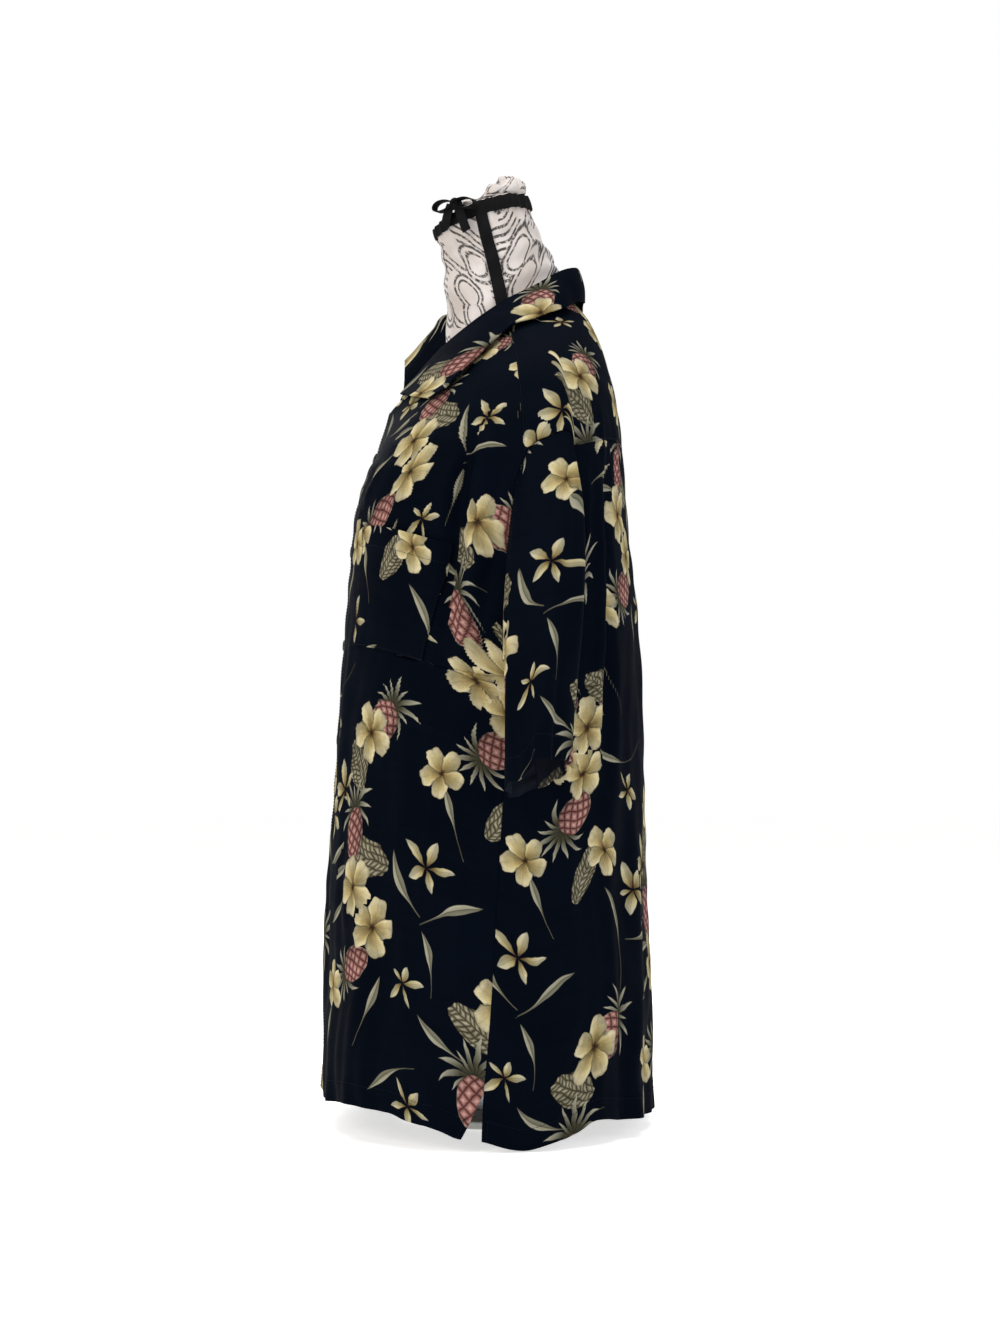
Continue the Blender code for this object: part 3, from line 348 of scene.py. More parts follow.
@dataclass(frozen=True)
class Crease:
    """A soft ridge, or a trough where height is under 0, along a bowed line on the body.

    x is metres round the body from the centre front, towards the wearer's left, and y is the
    height over the hem. lean is how much of a trough runs along its left side, or its right
    side where it is under 0.
    """

    x_top: float
    y_top: float
    x_low: float
    y_low: float
    bow: float
    half_width: float
    height: float
    lean: float


LEFT_CREASES = (
    # front: from the collar and the shoulder over the chest
    Crease(0.215, 0.705, 0.150, 0.560, 0.012, 0.012, 0.0026, 0.6),
    Crease(0.252, 0.690, 0.214, 0.520, 0.010, 0.009, 0.0024, -0.7),
    Crease(0.120, 0.690, 0.078, 0.590, 0.006, 0.010, 0.0020, 0.5),
    Crease(0.060, 0.655, 0.075, 0.545, -0.004, 0.008, 0.0014, 0.4),
    Crease(0.285, 0.560, 0.216, 0.492, -0.012, 0.010, 0.0024, 0.5),
    Crease(0.296, 0.520, 0.236, 0.430, -0.016, 0.012, 0.0028, -0.5),
    # front: down the skirt
    Crease(0.088, 0.500, 0.080, 0.240, 0.008, 0.016, 0.0026, 0.4),
    Crease(0.205, 0.430, 0.196, 0.150, -0.010, 0.017, 0.0030, -0.5),
    Crease(0.262, 0.380, 0.246, 0.120, 0.007, 0.013, 0.0026, 0.5),
    Crease(0.124, 0.300, 0.120, 0.020, -0.006, 0.018, 0.0030, 0.3),
    Crease(0.040, 0.330, 0.046, 0.060, 0.005, 0.014, 0.0018, -0.4),
    Crease(0.238, 0.175, 0.250, 0.010, 0.004, 0.011, 0.0024, 0.4),
    # side
    Crease(0.320, 0.420, 0.312, 0.180, 0.012, 0.015, 0.0030, -0.5),
    Crease(0.345, 0.330, 0.352, 0.090, -0.010, 0.014, 0.0026, 0.5),
    Crease(0.300, 0.300, 0.292, 0.130, 0.006, 0.010, 0.0020, 0.4),
    Crease(0.330, 0.190, 0.338, 0.012, 0.004, 0.012, 0.0022, -0.4),
    # back: under the yoke and down
    Crease(0.470, 0.690, 0.492, 0.500, 0.010, 0.010, 0.0022, 0.5),
    Crease(0.520, 0.700, 0.545, 0.560, 0.006, 0.012, 0.0020, -0.4),
    Crease(0.415, 0.620, 0.400, 0.500, -0.010, 0.009, 0.0022, 0.6),
    Crease(0.500, 0.480, 0.486, 0.210, 0.010, 0.016, 0.0030, 0.5),
    Crease(0.560, 0.450, 0.552, 0.150, -0.008, 0.018, 0.0026, -0.4),
    Crease(0.400, 0.420, 0.412, 0.150, 0.009, 0.014, 0.0028, 0.5),
    Crease(0.610, 0.560, 0.602, 0.300, 0.008, 0.018, 0.0024, 0.3),
    Crease(0.468, 0.200, 0.474, 0.010, -0.004, 0.013, 0.0026, -0.5),
    Crease(0.585, 0.230, 0.590, 0.010, 0.005, 0.015, 0.0024, 0.4),
    # yoke and shoulder
    Crease(0.345, 0.735, 0.405, 0.650, 0.010, 0.010, 0.0012, 0.5),
    Crease(0.430, 0.770, 0.462, 0.690, 0.006, 0.009, 0.0012, 0.4),
)


def mirrored(creases: tuple[Crease, ...]) -> tuple[Crease, ...]:
    """The other side's creases: like these, but uneven in place, length and depth.

    Args:
        creases: the creases of the wearer's left side.

    Returns:
        Creases of the right side.
    """
    made = []
    for i, one in enumerate(creases):
        sway = math.sin(2.4 * i + 0.7)
        made.append(
            replace(
                one,
                x_top=-one.x_top + 0.010 * sway,
                x_low=-one.x_low + 0.012 * math.sin(1.7 * i),
                y_low=one.y_low + 0.020 * sway,
                bow=-one.bow,
                height=one.height * (1.0 + 0.25 * math.sin(3.1 * i + 1.0)),
                lean=-one.lean,
            )
        )
    return tuple(made)


CREASES = LEFT_CREASES + mirrored(LEFT_CREASES)


@dataclass(frozen=True)
class CollarStation:
    """The collar across its width, at one angle of the neckline on each side."""

    seam_angle: float
    edge_angle: float
    stand: float
    lean: float
    fall: float
    lift: float
    open_out: float
    open_forward: float
    open_up: float
    open_share: float


COLLAR_STATIONS = (
    CollarStation(180.0, 180.0, 0.0360, 0.0030, 0.35, 0.0085, 0.020, 0.000, 0.040, 0.00),
    CollarStation(158.0, 148.0, 0.0330, 0.0028, 0.62, 0.0075, 0.020, 0.000, 0.040, 0.00),
    CollarStation(136.0, 130.0, 0.0290, 0.0022, 0.90, 0.0070, 0.025, 0.000, 0.040, 0.00),
    CollarStation(114.0, 110.0, 0.0220, 0.0010, 1.08, 0.0065, 0.045, 0.000, 0.030, 0.00),
    CollarStation(92.0, 90.0, 0.0195, -0.0010, 1.12, 0.0060, 0.050, 0.010, 0.040, 0.55),
    CollarStation(74.0, 74.0, 0.0215, -0.0030, 1.55, 0.0060, 0.028, 0.028, 0.068, 1.00),
    CollarStation(57.0, 64.0, 0.0200, -0.0045, 2.10, 0.0058, 0.030, 0.013, 0.074, 1.00),
    CollarStation(41.0, 57.0, 0.0135, -0.0050, 2.35, 0.0055, 0.042, 0.004, 0.072, 1.00),
    CollarStation(27.0, 51.5, 0.0100, -0.0045, 2.35, 0.0050, 0.055, 0.001, 0.067, 1.00),
)
COLLAR_COLUMNS = {
    f.name: np.array([getattr(station, f.name) for station in COLLAR_STATIONS])
    for f in fields(CollarStation)
}


class Motif(Enum):
    """A printed motif, with the name of the mesh attribute that holds its own frame."""

    BLADE = "print_blade"
    BROAD_LEAF = "print_broad_leaf"
    PINEAPPLE = "print_pineapple"
    BLOSSOM = "print_blossom"
    HIBISCUS = "print_hibiscus"


@dataclass(frozen=True)
class Printed:
    """One motif in the cloth's repeat: its middle and half length in millimetres.

    turn is in degrees, squash is its width as a share of its length, and seed varies its drawing.
    """

    x: float
    y: float
    turn: float
    reach: float
    squash: float
    seed: float


# Two garlands, bowed to the left and half a repeat apart, with blossoms and leaves between them
PRINT = {
    Motif.PINEAPPLE: (
        Printed(96, 404, -48, 45, 0.95, 1.3),
        Printed(38, 302, 14, 46, 0.95, 4.2),
        Printed(46, 152, 118, 41, 0.90, 7.7),
        Printed(262, 180, -40, 45, 0.95, 2.6),
        Printed(202, 80, 8, 46, 0.95, 5.9),
        Printed(196, 378, 128, 40, 0.92, 9.6),
    ),
    Motif.HIBISCUS: (
        Printed(64, 382, 12, 31, 0.94, 2.1),
        Printed(52, 232, 40, 32, 0.90, 5.4),
        Printed(84, 196, -22, 28, 0.96, 6.2),
        Printed(4, 140, 65, 27, 0.86, 8.1),
        Printed(228, 156, -8, 31, 0.92, 9.3),
        Printed(232, 24, 25, 32, 0.92, 1.7),
        Printed(198, 4, 80, 27, 0.90, 2.9),
        Printed(222, 422, 70, 28, 0.94, 7.3),
        Printed(154, 352, -35, 26, 0.84, 3.3),
        Printed(246, 340, 50, 26, 0.88, 4.4),
    ),
    Motif.BROAD_LEAF: (
        Printed(40, 350, 30, 30, 0.90, 3.1),
        Printed(70, 262, 75, 33, 0.90, 1.1),
        Printed(204, 128, 60, 30, 0.90, 4.6),
        Printed(262, 52, 40, 32, 0.90, 6.4),
        Printed(218, 326, -35, 28, 0.85, 2.4),
    ),
    Motif.BLOSSOM: (
        Printed(4, 330, -30, 34, 0.92, 3.7),
        Printed(146, 262, 20, 37, 0.96, 4.8),
        Printed(300, 306, -18, 38, 0.95, 6.6),
        Printed(136, 40, 48, 29, 0.88, 8.4),
        Printed(300, 402, 35, 31, 0.92, 5.2),
        Printed(130, 150, -40, 28, 0.88, 1.9),
    ),
    Motif.BLADE: (
        Printed(16, 252, 100, 34, 1.0, 2.0),
        Printed(12, 214, 130, 30, 1.0, 5.6),
        Printed(84, 124, -25, 30, 1.0, 3.0),
        Printed(168, 104, 60, 32, 1.0, 4.0),
        Printed(166, 316, 20, 28, 1.0, 6.2),
        Printed(120, 236, 35, 38, 1.0, 5.0),
        Printed(172, 226, -62, 36, 1.0, 6.0),
        Printed(268, 276, 28, 37, 1.0, 7.0),
        Printed(318, 262, -70, 35, 1.0, 8.0),
        Printed(108, 62, 120, 31, 1.0, 9.0),
        Printed(276, 428, 84, 30, 1.0, 10.0),
        Printed(156, 178, 15, 27, 1.0, 2.7),
        Printed(316, 96, -20, 32, 1.0, 3.8),
    ),
}


def ease(value: Array) -> Array:
    """0 to 1 with flat ends."""
    t = np.clip(value, 0.0, 1.0)
    return t * t * (3.0 - 2.0 * t)


def mix(a: Array, b: Array, t: Array) -> Array:
    """From a to b as t goes from 0 to 1."""
    return a + (b - a) * t


def bump(distance: Array) -> Array:
    """A soft hump of height 1 and half width 1."""
    return np.where(np.abs(distance) < 1.0, 0.5 + 0.5 * np.cos(np.pi * distance), 0.0)


def bell(distance: Array) -> Array:
    """A soft hump of height 1 whose skirts die out past 2."""
    return np.exp(-distance * distance)


def unit(vectors: Array) -> Array:
    """Vectors at length 1."""
    return vectors / np.maximum(np.linalg.norm(vectors, axis=-1, keepdims=True), 1e-12)


def smooth_read(table: Array, place: Array) -> Array:
    """One column of a table of rows, read smoothly between rows.

    Args:
        table: the column's values, one for each row.
        place: rows to read at, whole or not.

    Returns:
        The values there.
    """
    last = len(table) - 1
    low = np.clip(np.floor(place).astype(int), 0, last - 1)
    t = place - low
    before, start, end, after = (table[np.clip(low + k, 0, last)] for k in (-1, 0, 1, 2))
    t2 = t * t
    t3 = t2 * t
    return (
        (2 * t3 - 3 * t2 + 1) * start
        + (t3 - 2 * t2 + t) * 0.5 * (end - before)
        + (3 * t2 - 2 * t3) * end
        + (t3 - t2) * 0.5 * (after - start)
    )


def crowded(count: int, share: float) -> Array:
    """Steps from 0 to 1 that stand closer at both ends.

    Args:
        count: how many steps.
        share: 0 for even steps, up to 1 for the most crowded ends.

    Returns:
        count + 1 values.
    """
    t = np.linspace(0.0, 1.0, count + 1)
    return t - share * np.sin(2.0 * np.pi * t) / (2.0 * np.pi)


class RingStack:
    """A smooth body given by level rings."""

    def __init__(self, rings: tuple[Ring, ...]) -> None:
        """Keeps each of the rings' sizes as one column."""
        names = [f.name for f in fields(Ring) if f.name != "name"]
        self.columns = {n: np.array([getattr(r, n) for r in rings]) for n in names}

    def read(self, name: str, level: Array) -> Array:
        """One of the rings' sizes at a level."""
        return smooth_read(self.columns[name], level)

    def smooth_point(self, angle: Array, level: Array) -> Array:
        """Points of the plain body, without folds."""
        turn = np.radians(np.minimum(np.abs(angle), DEGREES_ROUND - np.abs(angle)))
        side_sign = np.where((angle >= 0) == (np.abs(angle) <= HALF_ROUND), 1.0, -1.0)
        power = 2.0 / self.read("square", level)
        across = np.abs(np.sin(turn)) ** power
        along = np.abs(np.cos(turn)) ** power
        ahead = np.cos(turn) >= 0.0
        side_y = self.read("side_y", level)
        z_side = self.read("z_side", level)
        reach = np.where(ahead, -self.read("front", level), self.read("back", level))
        z_end = np.where(ahead, self.read("z_front", level), self.read("z_back", level))
        x = side_sign * self.read("side", level) * across
        y = side_y + (reach - side_y) * along
        z = z_side + (z_end - z_side) * along + HEM_HEIGHT
        return np.stack(np.broadcast_arrays(x, y, z), axis=-1)

    def point(self, angle: Array, level: Array) -> Array:
        """Points of the body as it is."""
        return self.smooth_point(angle, level)

    def normal(self, angle: Array, level: Array, smooth: bool = False) -> Array:
        """Outward normals, of the plain body where smooth is true."""
        read = self.smooth_point if smooth else self.point
        around = read(angle + ANGLE_STEP, level) - read(angle - ANGLE_STEP, level)
        up = read(angle, level + LEVEL_STEP) - read(angle, level - LEVEL_STEP)
        return unit(np.cross(around, up))


class ShirtBody(RingStack):
    """The shirt's outer face round the body, with its folds, hem and creases."""

    def __init__(self) -> None:
        """Reads the shirt's rings."""
        super().__init__(BODY_RINGS)

    def fold_run(self, fold: Fold, level: Array) -> tuple[Array, Array]:
        """The angle of a long fold's middle at a level, and its strength there."""
        t = (fold.top - level) / (fold.top - fold.low)
        strength = ease(t / FOLD_FADE_HIGH) * ease((1.0 - t) / FOLD_FADE_LOW)
        return mix(fold.angle_top, fold.angle_low, t), strength

    def fold_push(self, angle: Array, level: Array) -> Array:
        """How far the long folds move the cloth out, in metres."""
        total = np.zeros(np.broadcast(angle, level).shape)
        for fold in FOLDS:
            middle, strength = self.fold_run(fold, level)
            across = (angle - middle) / fold.half_width
            total += strength * fold.ridge * bump(across)
            total -= strength * fold.trough * bump(across - TROUGH_SHIFT * fold.trough_side)
        return total

    def hem_lift(self, angle: Array, level: Array) -> Array:
        """How far the cloth is raised near the hem, in metres."""
        angles = np.array(HEM_ANGLES)
        lifts = np.array(HEM_LIFTS)
        low = np.clip(np.searchsorted(angles, angle) - 1, 0, len(angles) - 2)
        share = ease((angle - angles[low]) / (angles[low + 1] - angles[low]))
        return ease(1.0 - level / HEM_FADE) * mix(lifts[low], lifts[low + 1], share)

    def crease_push(self, angle: Array, level: Array) -> Array:
        """How far the creases and the cloth's own unevenness move it out, in metres."""
        x = angle * METRES_PER_DEGREE
        y = self.read("z_side", level)
        girth = DEGREES_ROUND * METRES_PER_DEGREE
        total = np.zeros(np.broadcast(x, y).shape)
        for one in CREASES:
            run_x = one.x_low - one.x_top
            run_y = one.y_low - one.y_top
            length = math.hypot(run_x, run_y)
            from_x = (x - one.x_top + 0.5 * girth) % girth - 0.5 * girth
            from_y = y - one.y_top
            along = (from_x * run_x + from_y * run_y) / length**2
            off = (from_x * run_y - from_y * run_x) / length
            off = off - one.bow * np.sin(np.pi * np.clip(along, 0.0, 1.0))
            strength = ease(along / 0.35) * ease((1.0 - along) / 0.45)
            spread = one.half_width * (0.7 + 0.6 * np.clip(along, 0.0, 1.0))
            side = 1.7 * spread * math.copysign(1.0, one.lean)
            ridge = bell(off / spread)
            trough = bell((off - side) / (1.1 * spread))
            total += strength * one.height * (ridge - abs(one.lean) * trough)
        hang = ease(1.0 - (y - 0.02) / 0.60)
        drift = 0.5 * np.sin(math.tau * y / 0.31 + 1.3) + 0.35 * np.sin(math.tau * y / 0.17)
        total += 0.0013 * hang * np.sin(math.tau * x / 0.0655 + 2.2 * drift)
        total += 0.0008 * hang * np.sin(math.tau * x / 0.0311 + 3.4 * drift + 0.8)
        total += 0.0005 * np.sin(math.tau * (y + 0.4 * x) / 0.047 + 2.0 * drift) * ease(y / 0.3)
        loose = ease((10.6 - level) / 2.4)
        return total * loose

    def hem_push(self, angle: Array, level: Array) -> Array:
        """How far the turned hem stands out and waves, in metres."""
        x = angle * METRES_PER_DEGREE
        height = self.read("z_side", level)
        wave = np.sin(math.tau * x / 0.043 + 1.4 * np.sin(math.tau * x / 0.31))
        wave += 0.6 * np.sin(math.tau * x / 0.0745 + 0.5)
        step = HEM_RISE * (1.0 - ease((height - HEM_FOLD) / STEP_FADE))
        return 0.0012 * wave * ease(1.0 - height / 0.045) + step

    def point(self, angle: Array, level: Array) -> Array:
        """Points of the cloth's outer face."""
        angle = np.where(angle > HALF_ROUND, angle - DEGREES_ROUND, angle)
        angle = np.where(angle < -HALF_ROUND, angle + DEGREES_ROUND, angle)
        push = self.fold_push(angle, level) + self.crease_push(angle, level)
        push = push + self.hem_push(angle, level)
        made = self.smooth_point(angle, level)
        made = made + self.normal(angle, level, smooth=True) * push[..., None]
        made[..., 2] += self.hem_lift(angle, level)
        return made

    def angle_at_width(self, x: float, level: Array) -> Array:
        """The angle at which the ring at a level is x metres from the middle, at the front."""
        side = self.read("side", level)
        square = self.read("square", level)
        return np.degrees(np.arcsin((x / side) ** (square / 2.0)))

    def cut(self, angle: Array, level: Array) -> Array:
        """How much cloth the folds before a place have hidden, for the print's own places."""
        wrapped = np.where(angle > HALF_ROUND, angle - DEGREES_ROUND, angle)
        total = np.zeros(np.broadcast(angle, level).shape)
        for fold in FOLDS:
            middle, strength = self.fold_run(fold, level)
            edge = middle + TROUGH_SHIFT * fold.half_width * fold.trough_side
            total += fold.hidden * strength * (wrapped > edge)
        return total


def armhole_node(k: Array) -> tuple[Array, Array]:
    """Angle and level of the left armhole's edge: 0 is its top, then down the front."""
    turn = 2.0 * np.pi * np.asarray(k, dtype=float) / ARMHOLE_NODES
    level = ARMHOLE_MIDDLE_V + ARMHOLE_HALF_V * np.cos(turn)
    low_share = np.clip((ARMHOLE_MIDDLE_V - level) / ARMHOLE_HALF_V, 0.0, 1.0)
    drift = (SIDE_SEAM - ARMHOLE_MIDDLE) * low_share**ARMHOLE_DRIFT_POWER
    upper = ease((level - ARMHOLE_MIDDLE_V) / (0.25 * ARMHOLE_HALF_V))
    power = mix(1.0, ARMHOLE_CORNER, upper)
    reach = np.sign(np.sin(turn)) * np.abs(np.sin(turn)) ** power
    return ARMHOLE_MIDDLE + drift - ARMHOLE_HALF * reach, level


def vent_angle(level: Array, swing: float) -> Array:
    """The side seam's angle, with the vent's corner swung by swing degrees at the hem."""
    return SIDE_SEAM + swing * np.clip(1.0 - level / VENT_TOP, 0.0, 1.0)


def yoke_bow(t: Array) -> Array:
    """How far the yoke's front seam bows forward at t of its length, in degrees."""
    return YOKE_SEAM_BOW * np.sin(np.pi * t)


def grain_rise(level: Array) -> Array:
    """How much higher a row of the front's cloth runs at the centre front, in levels."""
    started = ease((level - GRAIN_RISE_START) / GRAIN_RISE_LENGTH)
    return GRAIN_RISE * started * ease((GRAIN_RISE_END - level) / GRAIN_FALL_LENGTH)


def pocket_side_angle(level: Array) -> Array:
    """The angle that the pocket's outer side follows."""
    return mix(POCKET_OUTER_LOW, POCKET_OUTER_TOP, ease((level - UNDERARM) / POCKET_HEIGHT))


def skirt_levels() -> Array:
    """Levels from the hem to the underarm, close together at the hem."""
    hem = np.linspace(0.0, 0.26, 15)[:-1]
    return np.concatenate([hem, np.linspace(0.26, UNDERARM, 86)])


def front_places(shirt: ShirtBody, columns: Array) -> tuple[Array, Array]:
    """Places of one front, as the wearer's left one.

    Args:
        shirt: the body that the cloth follows.
        columns: places across it, in steps of FRONT_STOPS.

    Returns:
        Angles and levels, rows from the hem up and columns from the front edge.
    """
    low = skirt_levels()
    k = np.linspace(UNDERARM_NODE, YOKE_NODE, 61)[1:]
    armhole_angle, armhole_level = armhole_node(k)
    t = crowded(36, 0.6)[1:]
    corner_angle, corner_level = armhole_node(YOKE_NODE)
    seam_angle = mix(corner_angle, YOKE_SEAM_AT_NECK, t) - yoke_bow(t)
    level = np.concatenate([low, armhole_level, mix(corner_level, NECKLINE, t)])
    outer = np.concatenate([vent_angle(low, -FRONT_VENT_SPREAD), armhole_angle, seam_angle])
    return spread_front(shirt, level, outer, columns)


def spread_front(
    shirt: ShirtBody, level: Array, outer: Array, columns: Array
) -> tuple[Array, Array]:
    """Spreads a front's columns between its edges, with the cross grain rising to the centre.

    Args:
        shirt: the body that the cloth follows.
        level: the rows' levels at the outer edge.
        outer: the outer edge's angle at each row.
        columns: places across, in steps of FRONT_STOPS.

    Returns:
        Angles and levels of the grid.
    """
    rise = grain_rise(level)
    inner = -shirt.angle_at_width(FRONT_EXTENSION, level + rise)
    stops = np.stack(
        [inner, np.full_like(level, POCKET_INNER_ANGLE), pocket_side_angle(level), outer]
    )
    angle = np.stack([np.interp(columns, FRONT_STOPS, stops[:, i]) for i in range(len(level))])
    fall = (outer - POCKET_INNER_ANGLE)[:, None]
    grid_level = level[:, None] + rise[:, None] * ease((outer[:, None] - angle) / fall)
    return angle, grid_level


def back_places() -> tuple[Array, Array]:
    """Angles and levels of the back, rows from the hem up, from the wearer's left to the right."""
    low = skirt_levels()
    k = np.linspace(UNDERARM_NODE, YOKE_NODE, 61)[1:]
    armhole_angle, armhole_level = armhole_node(-k)
    level = np.concatenate([low, armhole_level])
    edge = np.concatenate([vent_angle(low, BACK_VENT_SPREAD), armhole_angle])
    columns = crowded(BACK_COLUMNS, BODY_CROWDING)
    middle = DEGREES_ROUND - 2.0 * SIDE_ZONE_BACK
    stops = [
        np.array([e, SIDE_ZONE_BACK, SIDE_ZONE_BACK + middle, DEGREES_ROUND - e]) for e in edge
    ]
    angle = np.stack([np.interp(columns, BACK_SHARES, s) for s in stops])
    return angle, np.broadcast_to(level[:, None], angle.shape)


def yoke_places() -> tuple[Array, Array]:
    """Angles and levels of the yoke, from the left front seam over the back to the right one."""
    k = np.linspace(YOKE_NODE, -YOKE_NODE, 33)
    left_angle, left_level = armhole_node(k)
    edge = left_angle[-1]
    low = left_level[-1]
    stops = np.array([edge, SIDE_ZONE_BACK, DEGREES_ROUND - SIDE_ZONE_BACK, DEGREES_ROUND - edge])
    back = np.interp(np.linspace(0.0, 1.0, 141)[1:-1], BACK_SHARES, stops)
    bottom = np.concatenate([left_angle, back, DEGREES_ROUND - left_angle[::-1]])
    bottom_level = np.concatenate([left_level, np.full(len(back), low), left_level[::-1]])
    share = (bottom - bottom[0]) / (bottom[-1] - bottom[0])
    t = crowded(42, 0.6)[:, None]
    at_neck = mix(YOKE_SEAM_AT_NECK, DEGREES_ROUND - YOKE_SEAM_AT_NECK, share)
    angle = mix(bottom, at_neck, t) - yoke_bow(t) * (1.0 - 2.0 * share)
    return angle, mix(bottom_level, NECKLINE, t)


class Edge(Enum):
    """An edge of a grid of cloth."""

    LOW = "first row"
    HIGH = "last row"
    FIRST = "first column"
    LAST = "last column"


Seam = tuple[Edge, float] | tuple[Edge, float, float, float]  # what edge_line is given


@dataclass
class ClothGrid:
    """A grid of points on a piece of cloth, with the flat place of each on the uncut cloth.

    Rows and columns run so that the columns' way crossed with the rows' way points out, or in
    where inside_out is true.
    """

    points: Array
    flat: Array
    shift: Array | None = None
    inside_out: bool = False

    def normals(self) -> Array:
        """Outward normals of the grid's points."""
        around = np.gradient(self.points, axis=1)
        up = np.gradient(self.points, axis=0)
        made = unit(np.cross(around, up))
        return -made if self.inside_out else made

    def edge_line(self, edge: Edge, inset: float, start: float = 0.0, end: float = 1.0) -> Array:
        """A line along an edge, moved in over the cloth, with the normals along it.

        Args:
            edge: which edge.
            inset: how far in, in metres.
            start: share of the edge where the line starts.
            end: share of the edge where it ends.

        Returns:
            Two stacked arrays of points and normals.
        """
        points = self.points
        normals = self.normals()
        if edge in (Edge.FIRST, Edge.LAST):
            points = points.swapaxes(0, 1)
            normals = normals.swapaxes(0, 1)
        if edge in (Edge.HIGH, Edge.LAST):
            points = points[::-1]
            normals = normals[::-1]
        steps = np.linalg.norm(np.diff(points, axis=0), axis=-1)
        reach = np.concatenate([np.zeros((1, steps.shape[1])), np.cumsum(steps, axis=0)])
        line = []
        last = points.shape[1] - 1
        for j in range(int(start * last), int(end * last) + 1):
            i = int(np.clip(np.searchsorted(reach[:, j], inset), 1, len(reach) - 1))
            t = (inset - reach[i - 1, j]) / max(reach[i, j] - reach[i - 1, j], 1e-9)
            spot = mix(points[i - 1, j], points[i, j], t)
            line.append(np.stack([spot, normals[i, j]]))
        return np.stack(line, axis=1)


def flattened(points: Array, middle_column: int, first_row: int = 0) -> Array:
    """Flat places of a grid, from the lengths of its rows and columns.

    Args:
        points: the grid's points.
        middle_column: the column whose flat place across is 0.
        first_row: the row whose flat place up is 0.

    Returns:
        Flat places, across and up, in metres.
    """
    across = np.linalg.norm(np.diff(points, axis=1), axis=-1)
    across = np.concatenate([np.zeros((len(points), 1)), np.cumsum(across, axis=1)], axis=1)
    across = across - across[:, middle_column : middle_column + 1]
    up = np.linalg.norm(np.diff(points, axis=0), axis=-1)
    up = np.concatenate([np.zeros((1, points.shape[1])), np.cumsum(up, axis=0)], axis=0)
    return np.stack([across, up - up[first_row]], axis=-1)


def flattened_from_hem(points: Array, middle_column: int) -> Array:
    """Flat places of a tube below a slanting seam, rows from the seam down.

    Args:
        points: the grid's points.
        middle_column: the column whose flat place across is 0.

    Returns:
        Flat places up from the hem, and across so that each row keeps its length, in metres.
    """
    up = -flattened(points, middle_column, first_row=-1)[..., 1]
    steps = np.linalg.norm(np.diff(points, axis=1), axis=-1)
    level = np.sqrt(np.maximum(steps**2 - np.diff(up, axis=1) ** 2, (LEAST_LEVEL * steps) ** 2))
    across = np.concatenate([np.zeros((len(points), 1)), np.cumsum(level, axis=1)], axis=1)
    return np.stack([across - across[:, middle_column : middle_column + 1], up], axis=-1)


def print_frames(motif: Motif, flat: Array) -> Array:
    """The place of each face corner in the frame of the nearest motif of one kind.

    Args:
        motif: the kind.
        flat: corners' flat places, shaped faces, corners, 2.

    Returns:
        Places across and along the motif, 1 at its rim, and its seed.
    """
    centre = flat.mean(axis=1)
    repeat = np.array(REPEAT)
    nearest = np.full(len(centre), np.inf)
    made = np.full((*flat.shape[:2], 3), FAR_OFF)
    for one in PRINT[motif]:
        away = centre - MM * np.array([one.x, one.y])
        away = away - repeat * np.round(away / repeat)
        turn = math.radians(one.turn)
        across = np.array([math.cos(turn), math.sin(turn)])
        along = np.array([-math.sin(turn), math.cos(turn)])
        size = MM * one.reach
        radius = np.hypot(away @ across / (size * one.squash), away @ along / size)
        closer = radius < nearest
        nearest[closer] = radius[closer]
        corners = flat[closer] - (centre - away)[closer][:, None, :]
        made[closer, :, 0] = corners @ across / (size * one.squash)
        made[closer, :, 1] = corners @ along / size
        made[closer, :, 2] = one.seed
    return made


def store(mesh: bpy.types.Mesh, name: str, values: Array) -> None:
    """Keeps three numbers for each face corner of a mesh under a name."""
    held = mesh.attributes.new(name, "FLOAT_VECTOR", "CORNER")
    held.data.foreach_set("vector", np.ascontiguousarray(values, np.float32).ravel())


def grid_mesh(
    name: str, points: Array, flat: Array, inside_out: bool = False
) -> tuple[bpy.types.Mesh, Array]:
    """A mesh on a grid of points, which holds their flat places on its faces' corners.

    Args:
        name: the mesh's name.
        points: the grid.
        flat: the flat place of each point.
        inside_out: whether the faces are turned over.

    Returns:
        The mesh, and the number of the point at each corner of each face.
    """
    rows, columns = points.shape[:2]
    index = np.arange(rows * columns).reshape(rows, columns)
    corners = [index[:-1, :-1], index[:-1, 1:], index[1:, 1:], index[1:, :-1]]
    faces = np.stack(corners, axis=-1).reshape(-1, 4)
    if inside_out:
        faces = faces[:, ::-1]
    mesh = bpy.data.meshes.new(name)
    mesh.from_pydata(points.reshape(-1, 3).tolist(), [], faces.tolist())
    places = flat.reshape(-1, 2)[faces]
    store(mesh, "flat", np.concatenate([places, np.zeros((*places.shape[:2], 1))], axis=-1))
    return mesh, faces


def new_object(
    name: str, mesh: bpy.types.Mesh | bmesh.types.BMesh, *materials: bpy.types.Material
) -> bpy.types.Object:
    """Puts a smooth mesh into the scene.

    Args:
        name: the object's name.
        mesh: its mesh, or the geometry of a new one, which is freed.
        materials: its materials, in order.

    Returns:
        The object.
    """
    if isinstance(mesh, bmesh.types.BMesh):
        geometry, mesh = mesh, bpy.data.meshes.new(name)
        geometry.to_mesh(mesh)
        geometry.free()
    mesh.shade_smooth()
    for material in materials:
        mesh.materials.append(material)
    made = bpy.data.objects.new(name, mesh)
    bpy.context.scene.collection.objects.link(made)
    return made


def linear(colour: str) -> tuple[float, float, float, float]:
    """An sRGB hex colour as linear numbers, with full alpha."""
    parts = [int(colour[i : i + 2], 16) / 255.0 for i in (1, 3, 5)]
    made = [p / 12.92 if p <= 0.04045 else ((p + 0.055) / 1.055) ** 2.4 for p in parts]
    return (*made, 1.0)


